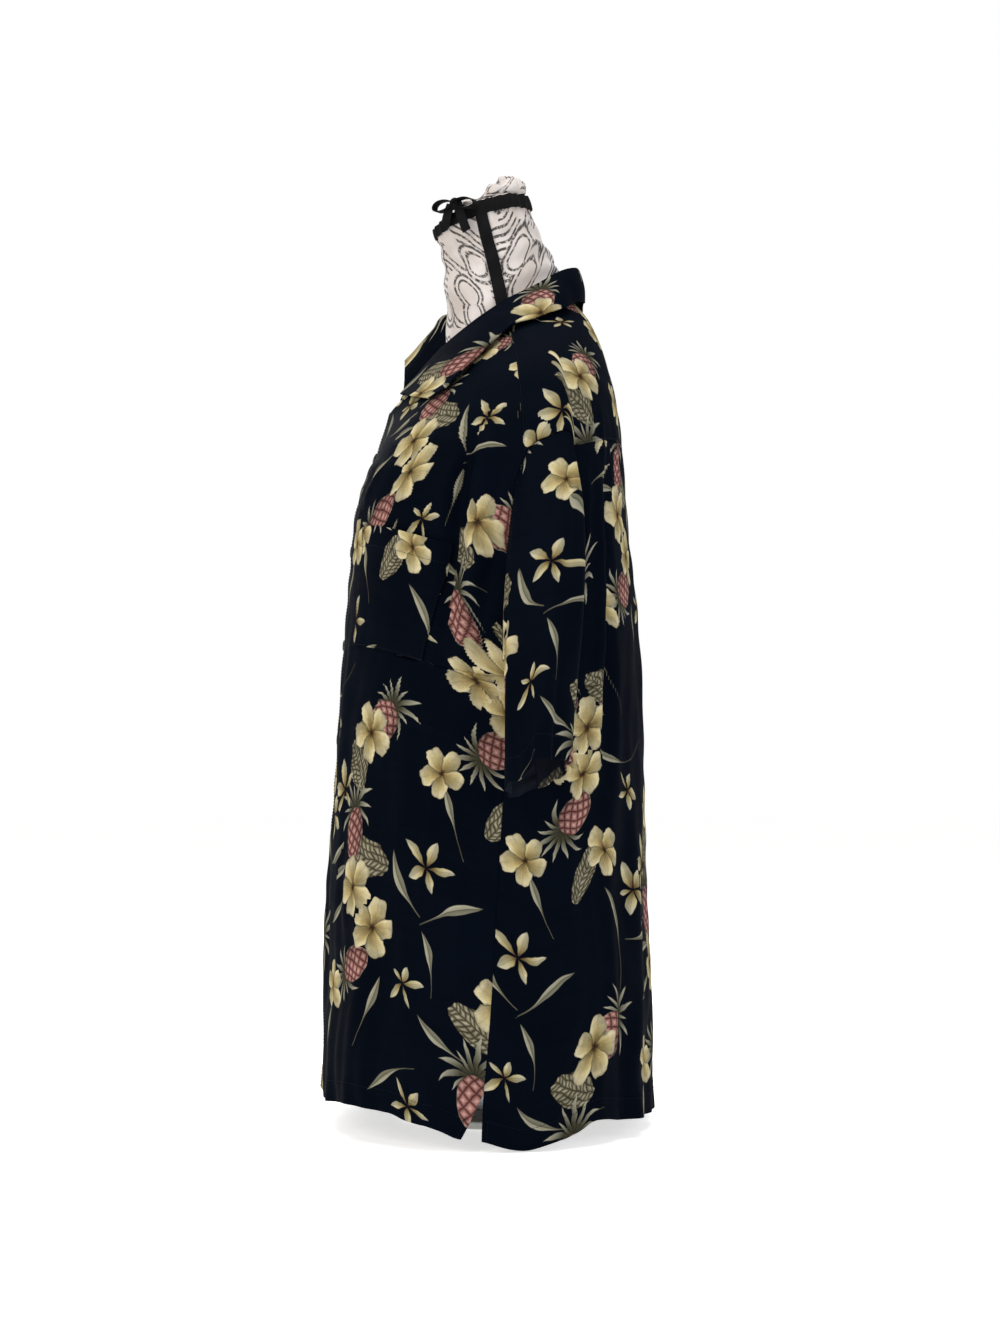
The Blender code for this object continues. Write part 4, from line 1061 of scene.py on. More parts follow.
def fill(tree: bpy.types.NodeTree, node: bpy.types.Node, inputs: dict[int | str, Input]) -> None:
    """Sets or links a node's inputs.

    Args:
        tree: the node's tree.
        node: the node.
        inputs: what each input holds: a number, a tuple, a node's first output, or a socket.
    """
    for name, value in inputs.items():
        usable = [s for s in node.inputs if s.enabled and s.name == name]
        socket = usable[0] if usable else node.inputs[name]
        if isinstance(value, bpy.types.Node):
            value = next(s for s in value.outputs if s.enabled)
        if isinstance(value, Socket):
            tree.links.new(value, socket)
        else:
            socket.default_value = value


def add_node(
    tree: bpy.types.NodeTree,
    kind: str,
    inputs: dict[int | str, Input] | None = None,
    stops: Stops = (),
    **settings: object,
) -> bpy.types.Node:
    """Adds one node with its settings, and sets or links its inputs.

    Args:
        tree: the tree that it goes into.
        kind: the name of the node's type.
        inputs: what each input holds, as for fill.
        stops: a colour ramp's places and sRGB colours.
        settings: the node's own properties.

    Returns:
        The node.
    """
    node = tree.nodes.new(kind)
    for name, value in settings.items():
        setattr(node, name, value)
    fill(tree, node, inputs or {})
    if stops:
        ramp = node.color_ramp.elements
        while len(ramp) < len(stops):
            ramp.new(1.0)
        for element, (place, colour) in zip(ramp, stops):
            element.position = place
            element.color = linear(colour)
    return node


VECTOR = "ShaderNodeVectorMath"
RANGE = "ShaderNodeMapRange"
MIX = "ShaderNodeMix"

# What a step can name other than a sum on numbers: a node's type, its settings and its inputs
KINDS: dict[str, tuple[str, dict[str, str], tuple[int | str, ...]]] = {
    "range": (RANGE, {}, (0, 1, 2, 3, 4)),
    "soft range": (RANGE, {"interpolation_type": "SMOOTHSTEP"}, (0, 1, 2, 3, 4)),
    "blend": (MIX, {"data_type": "RGBA"}, ("Factor", "A", "B")),
    "average": (MIX, {"data_type": "FLOAT"}, ("Factor", "A", "B")),
    "noise": ("ShaderNodeTexNoise", {}, ("Vector", "Scale", "Detail", "Roughness")),
    "chance": ("ShaderNodeTexWhiteNoise", {"noise_dimensions": "2D"}, ("Vector",)),
    "chance of one": ("ShaderNodeTexWhiteNoise", {"noise_dimensions": "1D"}, ("W",)),
    "split": ("ShaderNodeSeparateXYZ", {}, (0,)),
    "join": ("ShaderNodeCombineXYZ", {}, (0, 1)),
    "ramp": ("ShaderNodeValToRGB", {}, (0,)),
    "attribute": ("ShaderNodeAttribute", {}, ()),
    "coordinates": ("ShaderNodeTexCoord", {}, ()),
    "cells": (
        "ShaderNodeTexVoronoi", {"voronoi_dimensions": "2D"}, ("Vector", "Scale", "Randomness")
    ),
    "group": ("ShaderNodeGroup", {}, ()),
    "tint": ("ShaderNodeHueSaturation", {}, ("Saturation", "Value", "Color")),
    "curve": ("ShaderNodeFloatCurve", {}, ("Value",)),
    "bump": ("ShaderNodeBump", {}, ("Height", "Strength", "Distance")),
    "scale": (VECTOR, {"operation": "SCALE"}, (0, "Scale")),
    "length": (VECTOR, {"operation": "LENGTH"}, (0,)),
    "times": (VECTOR, {"operation": "MULTIPLY"}, (0, 1)),
    "minus": (VECTOR, {"operation": "SUBTRACT"}, (0, 1)),
    "times plus": (VECTOR, {"operation": "MULTIPLY_ADD"}, (0, 1, 2)),
}


class Drawing:
    """Nodes added to a tree step by step, each kept under a name for later steps."""

    def __init__(self, tree: bpy.types.NodeTree, **held: Input) -> None:
        """Keeps the tree, and what the steps can name from the start."""
        self.tree = tree
        self.held = held

    def value(self, given: str | Input) -> Input:
        """What a step's entry stands for: itself, an earlier result, or its output after a dot."""
        if not isinstance(given, str):
            return given
        name, _, output = given.partition(".")
        return self.held[name].outputs[output] if output else self.held[name]

    def draw(self, *steps: Step) -> None:
        """Adds a node for each step.

        Args:
            steps: for each, its name, its kind or the sum that it does, its inputs in order, and
                perhaps its own settings.
        """
        for name, kind, *inputs in steps:
            own = inputs.pop() if inputs and isinstance(inputs[-1], dict) else {}
            sum_on_numbers = ("ShaderNodeMath", {"operation": kind}, (0, 1, 2))
            node_type, settings, sockets = KINDS.get(kind, sum_on_numbers)
            given = {socket: self.value(entry) for socket, entry in zip(sockets, inputs)}
            self.held[name] = add_node(self.tree, node_type, given, **settings, **own)

    def shade(self, **sockets: str | Input) -> None:
        """Fills the surface shader's inputs, whose names have _ for a space."""
        shader = self.tree.nodes["Principled BSDF"]
        given = {name.replace("_", " "): self.value(entry) for name, entry in sockets.items()}
        fill(self.tree, shader, given)


def new_material(name: str, **held: Input) -> tuple[bpy.types.Material, Drawing]:
    """A new material, and a drawing in its tree that holds what is given."""
    made = bpy.data.materials.new(name)
    made.use_nodes = True
    return made, Drawing(made.node_tree, **held)


# The cloth's flat places, which its faces' corners hold
FLAT_STEP = ("flat", "attribute", {"attribute_name": "flat"})


@dataclass(frozen=True)
class MotifDrawing:
    """How a motif is drawn from its own frame.

    waver is how far its edges stray, as a share of its reach, and strays is how many strays fit in
    the reach. Its steps start from the wavering place, named at, and its parts, named own. They
    end with its colour, and with a mask that is 1 where it is printed. A flower's steps can name
    each petal's radius, across and chance too.
    """

    motif: Motif
    waver: float
    strays: float
    steps: tuple[Step, ...]
    petals: int = 0

    def draw(self, tree: bpy.types.NodeTree) -> Drawing:
        """Draws the motif in a tree."""
        drawing = Drawing(tree)
        drawing.draw(
            ("frame", "attribute", {"attribute_name": self.motif.value}),
            ("wander", "noise", "frame.Vector", self.strays, 1.5),
            ("stray", "minus", "wander.Color", (0.5, 0.5, 0.5)),
            ("at", "times plus", "stray", (self.waver, self.waver, 0.0), "frame.Vector"),
            ("own", "split", "at"),
        )
        if self.petals:
            drawing.draw(
                ("flat_at", "times", "at", (1.0, 1.0, 0.0)),
                ("radius", "length", "flat_at"),
                ("turn", "ARCTAN2", "own.Y", "own.X"),
                ("sector", "MULTIPLY_ADD", "turn", self.petals / math.tau, "own.Z"),
                ("whole", "FLOOR", "sector"),
                ("petal", "FLOORED_MODULO", "whole", float(self.petals)),
                ("tenths", "MULTIPLY", "own.Z", 10.0),
                ("seed", "ROUND", "tenths"),
                ("petal_seed", "join", "petal", "seed"),
                ("chance", "chance", "petal_seed"),
                ("share", "FRACT", "sector"),
                ("across", "SUBTRACT", "share", 0.5),
            )
        drawing.draw(*self.steps)
        return drawing


# Five broad ruffled petals round a dark throat
HIBISCUS_STEPS = (
    ("off", "ABSOLUTE", "across"),
    ("rim", "soft range", "off", 0.18, 0.5, 0.93, 0.60),
    ("uneven", "MULTIPLY_ADD", "chance.Value", 0.16, "rim"),
    ("reach", "DIVIDE", "radius", "uneven"),
    ("mask", "range", "reach", 1.0, 0.965, 0.0, 1.0),
    ("tone", "ramp", "reach", {"stops": (
        (0.0, "#24150a"), (0.09, "#4a3412"), (0.20, "#8a6f26"), (0.42, "#ab9348"),
        (0.66, "#bfac68"), (0.88, "#cbbd8c"), (0.97, "#b5a677"), (1.0, "#6f6344"),
    )}),
    ("cloud", "noise", "at", 2.1, 3.0, 0.6),
    ("light", "MULTIPLY_ADD", "across", 0.85, "cloud"),
    ("shade", "range", "light", 0.15, 0.85, 0.50, 1.10),
    ("veins", "MULTIPLY", "off", 74.0),
    ("vein", "SINE", "veins"),
    ("streak", "range", "reach", 0.10, 0.70, 0.42, 0.03),
    ("veined", "MULTIPLY_ADD", "vein", "streak", "shade"),
    ("parting", "soft range", "off", 0.40, 0.5, 1.0, 0.42),
    ("parted", "MULTIPLY", "veined", "parting"),
    ("rib", "range", "off", 0.0, 0.045, 0.74, 1.0),
    ("ribbed", "MULTIPLY", "parted", "rib"),
    ("colour", "scale", "tone", "ribbed"),
)

# Five pointed petals of very uneven length and width
BLOSSOM_STEPS = (
    ("length", "MULTIPLY_ADD", "chance.Value", 0.40, 0.60),
    ("along", "DIVIDE", "radius", "length"),
    ("bulge", "POWER", "along", 1.25),
    ("wave", "MULTIPLY", "bulge", math.pi),
    ("lens", "SINE", "wave"),
    ("spread", "split", "chance.Color"),
    ("width", "MULTIPLY_ADD", "spread.Y", 0.17, 0.065),
    ("half", "MULTIPLY", "lens", "width"),
    ("angle", "MULTIPLY", "across", math.tau / 5.0),
    ("offset", "MULTIPLY", "angle", "radius"),
    ("aside", "ABSOLUTE", "offset"),
    ("room", "SUBTRACT", "half", "aside"),
    ("inside", "range", "room", 0.0, 0.022, 0.0, 1.0),
    ("short", "LESS_THAN", "along", 1.0),
    ("mask", "MULTIPLY", "inside", "short"),
    ("tone", "ramp", "along", {"stops": (
        (0.0, "#40290f"), (0.16, "#74571d"), (0.34, "#9c8a48"), (0.62, "#b7ab7a"),
        (0.90, "#b5ae90"), (1.0, "#78745a"),
    )}),
    ("lit", "range", "offset", -0.07, 0.07, 0.60, 1.06),
    ("rib", "range", "aside", 0.0, 0.016, 0.66, 1.0),
    ("shade", "MULTIPLY", "lit", "rib"),
    ("colour", "scale", "tone", "shade"),
)

# A fruit of salmon diamonds under a fan of spiky grey-green leaves
PINEAPPLE_STEPS = (
    ("centred", "times plus", "at", (1.0 / 0.45, 1.0 / 0.56, 0.0), (0.0, 0.40 / 0.56, 0.0)),
    ("reach", "length", "centred"),
    ("body", "range", "reach", 1.0, 0.96, 0.0, 1.0),
    ("bulge", "MULTIPLY_ADD", "reach", 0.45, 1.0),
    ("domed", "scale", "centred", "bulge"),
    ("dome", "split", "domed"),
    ("lean_up", "MULTIPLY_ADD", "dome.X", 1.15, 0.25),
    ("run_up", "MULTIPLY_ADD", "dome.Y", 1.6, "lean_up"),
    ("line_up", "PINGPONG", "run_up", 0.5),
    ("lean_down", "MULTIPLY_ADD", "dome.X", -1.15, 0.25),
    ("run_down", "MULTIPLY_ADD", "dome.Y", 1.6, "lean_down"),
    ("line_down", "PINGPONG", "run_down", 0.5),
    ("edge", "MINIMUM", "line_up", "line_down"),
    ("tone", "ramp", "edge", {"stops": (
        (0.0, "#3a1815"), (0.09, "#743a33"), (0.22, "#9c5c50"), (0.38, "#b97d6e"),
        (0.5, "#d0a591"),
    )}),
    ("side", "range", "own.X", -0.4, 0.4, 1.12, 0.62),
    ("rim", "range", "reach", 0.55, 1.0, 1.0, 0.66),
    ("shade", "MULTIPLY", "side", "rim"),
    ("fruit", "scale", "tone", "shade"),
    ("rooted", "minus", "at", (0.0, 0.08, 0.0)),
    ("root", "split", "rooted"),
    ("level", "times", "rooted", (1.0, 1.0, 0.0)),
    ("out", "length", "level"),
    ("lean", "ARCTAN2", "root.X", "root.Y"),
    ("curl", "MULTIPLY_ADD", "out", -0.35, 1.0),
    ("curled", "MULTIPLY", "lean", "curl"),
    ("sector", "MULTIPLY_ADD", "curled", 2.7, "own.Z"),
    ("whole", "FLOOR", "sector"),
    ("chance", "chance of one", "whole"),
    ("share", "FRACT", "sector"),
    ("across", "SUBTRACT", "share", 0.5),
    ("off", "ABSOLUTE", "across"),
    ("length", "MULTIPLY_ADD", "chance.Value", 0.34, 0.58),
    ("along", "DIVIDE", "out", "length"),
    ("half", "range", "along", 0.25, 1.0, 0.52, 0.0),
    ("room", "SUBTRACT", "half", "off"),
    ("spike", "range", "room", 0.0, 0.06, 0.0, 1.0),
    ("upper", "range", "curled", -1.75, -1.65, 0.0, 1.0),
    ("other", "range", "curled", 1.65, 1.75, 1.0, 0.0),
    ("fan", "MULTIPLY", "upper", "other"),
    ("crown", "MULTIPLY", "spike", "fan"),
    ("leaf", "ramp", "along", {"stops": (
        (0.0, "#23241a"), (0.35, "#45432f"), (0.7, "#8a8770"), (1.0, "#bdb89c"),
    )}),
    ("lit", "range", "across", -0.4, 0.4, 0.58, 1.15),
    ("leaves", "scale", "leaf", "lit"),
    ("colour", "blend", "body", "leaves", "fruit"),
    ("mask", "MAXIMUM", "body", "crown"),
)

# One long slender leaf, bent along its length, with a thin stalk; its width comes in the end
BLADE_STEPS = (
    ("squared", "POWER", "own.Y", 2.0),
    ("twist", "SINE", "own.Z"),
    ("bend", "MULTIPLY", "squared", "twist"),
    ("aside", "MULTIPLY_ADD", "bend", 0.30, "own.X"),
    ("off", "ABSOLUTE", "aside"),
    ("along", "range", "own.Y", -1.0, 1.0),
    ("width", "curve", "along"),
    ("room", "SUBTRACT", "width", "off"),
    ("mask", "range", "room", 0.0, 0.02, 0.0, 1.0),
    ("share", "range", "aside", -0.13, 0.13),
    ("colour", "ramp", "share", {"stops": (
        (0.0, "#a39e83"), (0.44, "#8b876e"), (0.5, "#45432f"), (0.56, "#66644d"),
        (1.0, "#7a7860"),
    )}),
)
BLADE_ENDS = ((0.0, 0.018), (1.0, 0.0))
BLADE_WIDTHS = ((0.10, 0.02), (0.30, 0.035), (0.62, 0.135), (0.85, 0.075))

# A wide leaf ribbed like a fishbone, in olive and brown
BROAD_LEAF_STEPS = (
    ("squared", "POWER", "own.Y", 2.0),
    ("width", "range", "squared", 0.0, 1.0, 0.62, 0.12),
    ("off", "ABSOLUTE", "own.X"),
    ("room", "SUBTRACT", "width", "off"),
    ("inside", "range", "room", 0.0, 0.03, 0.0, 1.0),
    ("ends", "LESS_THAN", "squared", 0.86),
    ("mask", "MULTIPLY", "inside", "ends"),
    ("slant", "MULTIPLY_ADD", "off", -0.7, "own.Y"),
    ("ribs", "PINGPONG", "slant", 0.09),
    ("rungs", "PINGPONG", "own.X", 0.12),
    ("lower", "MINIMUM", "ribs", "rungs"),
    ("share", "range", "lower", 0.0, 0.09),
    ("tone", "ramp", "share", {"stops": (
        (0.0, "#2a2416"), (0.22, "#5d563d"), (0.6, "#857e60"), (1.0, "#aaa283"),
    )}),
    ("cloud", "noise", "at", 2.0, 2.0),
    ("shade", "range", "cloud", 0.3, 0.7, 0.55, 1.05),
    ("colour", "scale", "tone", "shade"),
)

# In the order of printing, the last on top
MOTIF_DRAWINGS = (
    MotifDrawing(Motif.BLADE, 0.05, 1.6, BLADE_STEPS),
    MotifDrawing(Motif.BROAD_LEAF, 0.30, 2.2, BROAD_LEAF_STEPS),
    MotifDrawing(Motif.PINEAPPLE, 0.10, 3.4, PINEAPPLE_STEPS),
    MotifDrawing(Motif.BLOSSOM, 0.12, 2.8, BLOSSOM_STEPS, petals=5),
    MotifDrawing(Motif.HIBISCUS, 0.24, 2.8, HIBISCUS_STEPS, petals=5),
)


@dataclass(frozen=True)
class PrintedRayon:
    """Rayon challis, a soft matt plain weave, screen printed on a navy ground.

    The ground eats nearly all light, so its folds show as faint blue-grey sheen, and the print
    sits in the cloth with soft, slightly dusty colours.
    """

    name: str = "printed_rayon_challis"
    ground: str = "#02040a"
    worn: str = "#040913"
    wrong_side: str = "#23272f"
    sheen_tint: str = "#6f87b8"
    roughness: float = 0.72
    ink_roughness: float = 0.10  # how much rougher the cloth is where it is printed
    specular: float = 0.012
    sheen: float = 0.006
    print_saturation: float = 0.78
    print_value: float = 0.77
    show_through: float = 0.45  # how much the wrong side's own colour covers the print
    thread_mm: float = 0.9  # the real thread is near 0.35 mm; drawn this coarse so that it shows
    slub_mm: float = 7.0

    def print_group(self) -> bpy.types.NodeTree:
        """The whole print as one group, from the frames on the cloth's corners."""
        tree = bpy.data.node_groups.new("hibiscus_and_pineapple_print", "ShaderNodeTree")
        tree.interface.new_socket("Colour", in_out="OUTPUT", socket_type="NodeSocketColor")
        tree.interface.new_socket("Printed", in_out="OUTPUT", socket_type="NodeSocketFloat")
        whole = Drawing(tree, printed=0.0)
        whole.draw(
            FLAT_STEP,
            ("cloudy", "noise", "flat.Vector", 11.0, 2.0),
            ("colour", "blend", "cloudy", linear(self.ground), linear(self.worn)),
        )
        for one in MOTIF_DRAWINGS:
            drawn = one.draw(tree).held
            if one.motif is Motif.BLADE:
                self.shape_blade(drawn["width"])
            whole.draw(
                ("dusty", "tint", self.print_saturation, self.print_value, drawn["colour"]),
                ("colour", "blend", drawn["mask"], "colour", "dusty"),
                ("printed", "MAXIMUM", "printed", drawn["mask"]),
            )
        results = {"Colour": whole.held["colour"], "Printed": whole.held["printed"]}
        add_node(tree, "NodeGroupOutput", results)
        return tree

    def shape_blade(self, width: bpy.types.Node) -> None:
        """Sets a slender leaf's width along its length."""
        curve = width.mapping.curves[0]
        for point in BLADE_WIDTHS:
            curve.points.new(*point)
        curve.points[0].location, curve.points[-1].location = BLADE_ENDS
        width.mapping.update()

    def material(self, group: bpy.types.NodeTree, wrong_side: bool) -> bpy.types.Material:
        """The cloth's right side, or its paler wrong side, where the print only shows through.

        Args:
            group: the print.
            wrong_side: which side.

        Returns:
            The material.
        """
        made, drawing = new_material(self.name + ("_wrong_side" if wrong_side else ""), slubs=0.5)
        inked = self.roughness + self.ink_roughness
        drawing.draw(
            FLAT_STEP,
            ("print", "group", {"node_tree": group}),
            ("spun", "scale", "flat.Vector", math.pi * (MM_PER_METRE / self.thread_mm)),
            ("lanes", "split", "spun"),
            ("warp", "SINE", "lanes.X"),
            ("weft", "SINE", "lanes.Y"),
            ("threads", "MULTIPLY", "warp", "weft"),
        )
        for stretch in ((1.0, 0.12, 1.0), (0.12, 1.0, 1.0)):
            drawing.draw(
                ("pulled", "times", "flat.Vector", stretch),
                ("lumps", "noise", "pulled", MM_PER_METRE / self.slub_mm, 3.0),
                ("slubs", "average", 0.5, "slubs", "lumps"),
            )
        drawing.draw(
            ("shade", "range", "slubs", 0.3, 0.7, 0.86, 1.14),
            ("colour", "scale", "print.Colour", "shade"),
            ("height", "MULTIPLY_ADD", "threads", 0.35, "slubs"),
            ("bumped", "bump", "height", 0.35, 0.0004),
            ("rough", "range", "print.Printed", 0.0, 1.0, self.roughness, inked),
        )
        if wrong_side:
            ground = linear(self.wrong_side)
            drawing.draw(("colour", "blend", self.show_through, "colour", ground))
        drawing.shade(
            Base_Color="colour",
            Roughness="rough",
            Normal="bumped",
            Specular_IOR_Level=self.specular,
            Sheen_Weight=self.sheen,
            Sheen_Roughness=0.4,
            Sheen_Tint=linear(self.sheen_tint),
        )
        return made


@dataclass(frozen=True)
class PlainFinish:
    """A finish of one colour whose grain, wear and bump come from noise.

    grain_mm is the size of its grain and stretch how the grain is drawn out along each axis.
    """

    name: str
    colour: str
    worn: str
    roughness: float
    grain_mm: float
    depth_mm: float
    stretch: tuple[float, float, float] = (1.0, 1.0, 1.0)
    metallic: float = 0.0
    specular: float = 0.5

    def material(self) -> bpy.types.Material:
        """The material, with its grain in colour, roughness and bump."""
        made, drawing = new_material(self.name)
        low, high = self.roughness - GRAIN_ROUGHNESS, self.roughness + GRAIN_ROUGHNESS
        drawing.draw(
            ("place", "coordinates"),
            ("pulled", "times", "place.Object", self.stretch),
            ("grain", "noise", "pulled", MM_PER_METRE / self.grain_mm, 4.0),
            ("cloudy", "noise", "place.Object", 60.0 / self.grain_mm, 2.0),
            ("blotch", "average", 0.6, "cloudy", "grain"),
            ("share", "range", "blotch", 0.35, 0.65),
            ("colour", "blend", "share", linear(self.colour), linear(self.worn)),
            ("rough", "range", "grain", 0.3, 0.7, low, high),
            ("bumped", "bump", "grain", 0.6, MM * self.depth_mm),
        )
        drawing.shade(
            Base_Color="colour", Roughness="rough", Normal="bumped", Metallic=self.metallic
        )
        if not self.metallic:
            drawing.shade(Specular_IOR_Level=self.specular)
        return made


# Resin buttons, moulded and tumbled: nearly black, with a soft shine that follows their rims
BUTTON_RESIN = PlainFinish("moulded_resin", "#16130f", "#2c241c", 0.28, 2.2, 0.02, specular=0.6)
# Polyester sewing thread: dark, matt, with a faint twist
THREAD = PlainFinish("polyester_thread", "#05080f", "#0c1220", 0.70, 0.5, 0.05, specular=0.1)
# Cotton twill tape: black with a soft, slightly dusty face
TWILL = PlainFinish(
    "cotton_twill_tape", "#060607", "#101012", 0.85, 0.8, 0.20, (1.0, 1.0, 0.35), specular=0.1
)
# Brushed steel: fine lines run up the post
BRUSHED_STEEL = PlainFinish(
    "brushed_steel", "#9c9fa3", "#c4c6c8", 0.34, 0.6, 0.02, (1.0, 1.0, 0.02), metallic=1.0
)
# Powder-coated steel: off-white, with a fine orange-peel skin
PAINTED_STEEL = PlainFinish("powder_coated_steel", "#d9d8d4", "#c9c8c3", 0.45, 1.6, 0.05)


@dataclass(frozen=True)
class PrintedJersey:
    """The form's cover: warm off-white cotton jersey, printed with black rings and lines."""

    name: str = "printed_cotton_jersey"
    ground: str = "#c9c2bf"
    soiled: str = "#a99f97"
    ink: str = "#1a1716"
    cell_mm: float = 46.0

    def material(self) -> bpy.types.Material:
        """The material, drawn from the cover's flat places."""
        made, drawing = new_material(self.name, rings=0.0)
        drawing.draw(
            FLAT_STEP,
            ("scaled", "scale", "flat.Vector", MM_PER_METRE / self.cell_mm),
            ("cell", "cells", "scaled", 1.0, 0.75),
        )
        for radius, half in ((0.40, 0.050), (0.27, 0.036)):
            drawing.draw(
                ("away", "SUBTRACT", "cell.Distance", radius),
                ("off", "ABSOLUTE", "away"),
                ("ring", "range", "off", half, 0.5 * half, 0.0, 1.0),
                ("rings", "MAXIMUM", "rings", "ring"),
            )
        drawing.draw(
            ("parts", "split", "scaled"),
            ("wave", "MULTIPLY", "parts.X", 9.0),
            ("swing", "SINE", "wave"),
            ("line", "MULTIPLY_ADD", "swing", 0.035, "parts.Y"),
            ("rows", "PINGPONG", "line", 0.085),
            ("drawn", "range", "rows", 0.040, 0.028, 0.0, 1.0),
            ("area", "noise", "scaled", 1.1, 0.0),
            ("where", "GREATER_THAN", "area", 0.54),
            ("bands", "MULTIPLY", "drawn", "where"),
            ("outside", "GREATER_THAN", "cell.Distance", 0.42),
            ("clear", "MULTIPLY", "bands", "outside"),
            ("both", "MAXIMUM", "rings", "clear"),
            ("patchy", "noise", "scaled", 14.0, 2.0),
            ("worn", "range", "patchy", 0.36, 0.5, 0.15, 0.92),
            ("inked", "MULTIPLY", "both", "worn"),
            ("dirt", "noise", "scaled", 0.9, 3.0),
            ("soil", "range", "dirt", 0.35, 0.7),
            ("cloth", "blend", "soil", linear(self.ground), linear(self.soiled)),
            ("colour", "blend", "inked", "cloth", linear(self.ink)),
            ("knit", "noise", "flat.Vector", 900.0, 2.0),
            ("bumped", "bump", "knit", 0.5, 0.0003),
        )
        drawing.shade(
            Base_Color="colour",
            Normal="bumped",
            Roughness=0.9,
            Specular_IOR_Level=0.2,
            Sheen_Weight=0.1,
        )
        return made


@dataclass
class Finishes:
    """Every material of the model, each made once."""

    rayon: bpy.types.Material
    rayon_wrong_side: bpy.types.Material
    jersey: bpy.types.Material
    resin: bpy.types.Material
    thread: bpy.types.Material
    twill: bpy.types.Material
    steel: bpy.types.Material
    paint: bpy.types.Material

    @classmethod
    def made(cls) -> "Finishes":
        """Makes them all."""
        rayon = PrintedRayon()
        group = rayon.print_group()
        return cls(
            rayon=rayon.material(group, wrong_side=False),
            rayon_wrong_side=rayon.material(group, wrong_side=True),
            jersey=PrintedJersey().material(),
            resin=BUTTON_RESIN.material(),
            thread=THREAD.material(),
            twill=TWILL.material(),
            steel=BRUSHED_STEEL.material(),
            paint=PAINTED_STEEL.material(),
        )


class Slot(Enum):
    """Material slots: the shirt's cloth, its buttons, the form's cover and its tapes."""

    SHIRT = "shirt_cloth"
    BUTTONS = "buttons"
    COVER = "form_cover"
    TAPE = "form_tape"


def place_piece(obj: bpy.types.Object, slot: Slot, *nodes: str) -> bpy.types.Object:
    """Fixes a piece to the body, hides the CAD nodes that it stands for, and logs its faces."""
    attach(obj, "root")
    if nodes:
        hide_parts(*nodes)
    LOG.info("%s: %d faces", obj.name, len(obj.data.polygons))
    return obj


def stitch_faces() -> list[tuple[int, ...]]:
    """The faces of one stitch, whose points are its start, its rings and its end."""
    n = STITCH_SIDES
    end = len(STITCH_RINGS) * n + 1
    faces: list[tuple[int, ...]] = []
    for j in range(n):
        k = (j + 1) % n
        faces.append((0, 1 + k, 1 + j))
        faces.append((end, end - n + j, end - n + k))
        for ring in range(1, end - n, n):
            faces.append((ring + j, ring + k, ring + n + k, ring + n + j))
    return faces


def stitches(name: str, lines: list[Array], thread: bpy.types.Material) -> bpy.types.Object:
    """Rows of stitches as one mesh of short rods that lie on the cloth.

    Args:
        name: the piece's name.
        lines: for each row, its points and normals stacked.
        thread: the material.

    Returns:
        The object.
    """
    turns = np.linspace(0.0, math.tau, STITCH_SIDES + 1)[:-1]
    across = [(math.cos(turn), math.sin(turn)) for turn in turns]
    pattern = stitch_faces()
    verts: list[list[float]] = []
    faces: list[tuple[int, ...]] = []
    for points, normals in lines:
        steps = np.linalg.norm(np.diff(points, axis=0), axis=-1)
        reach = np.concatenate([[0.0], np.cumsum(steps)])
        count = int(reach[-1] / STITCH_PITCH)
        starts = (np.arange(count) + STITCH_START) * STITCH_PITCH
        start, end, normal = (
            np.stack([np.interp(starts + add, reach, values[:, k]) for k in range(3)], axis=-1)
            for values, add in ((points, 0.0), (points, STITCH_LENGTH), (normals, 0.0))
        )
        way = unit(end - start)
        normal = unit(normal - way * (normal * way).sum(-1, keepdims=True))
        side = np.cross(way, normal)
        lift = normal * (STITCH_LIFT * STITCH_RADIUS)
        rings = [start - way * STITCH_TIP]
        for share, spread in STITCH_RINGS:
            centre = mix(start, end, share) + lift * (1.0 + spread)
            for a, b in across:
                rings.append(centre + (side * a + normal * b) * (STITCH_RADIUS * spread))
        rings.append(end + way * STITCH_TIP)
        base = len(verts)
        for i in range(count):
            faces += [tuple(base + len(rings) * i + v for v in face) for face in pattern]
        verts += np.stack(rings, axis=1).reshape(-1, 3).tolist()
    mesh = bpy.data.meshes.new(name)
    mesh.from_pydata(verts, [], faces)
    return place_piece(new_object(name, mesh, thread), Slot.SHIRT)


def ball(geometry: bmesh.types.BMesh, round_it: int, up: int, matrix: Matrix) -> None:
    """Adds a ball, stretched and placed by a matrix.

    Args:
        geometry: what it is added to.
        round_it: how many segments it has round its axis.
        up: how many from end to end.
        matrix: its size and place.
    """
    bmesh.ops.create_uvsphere(
        geometry, u_segments=round_it, v_segments=up, radius=1.0, matrix=matrix
    )


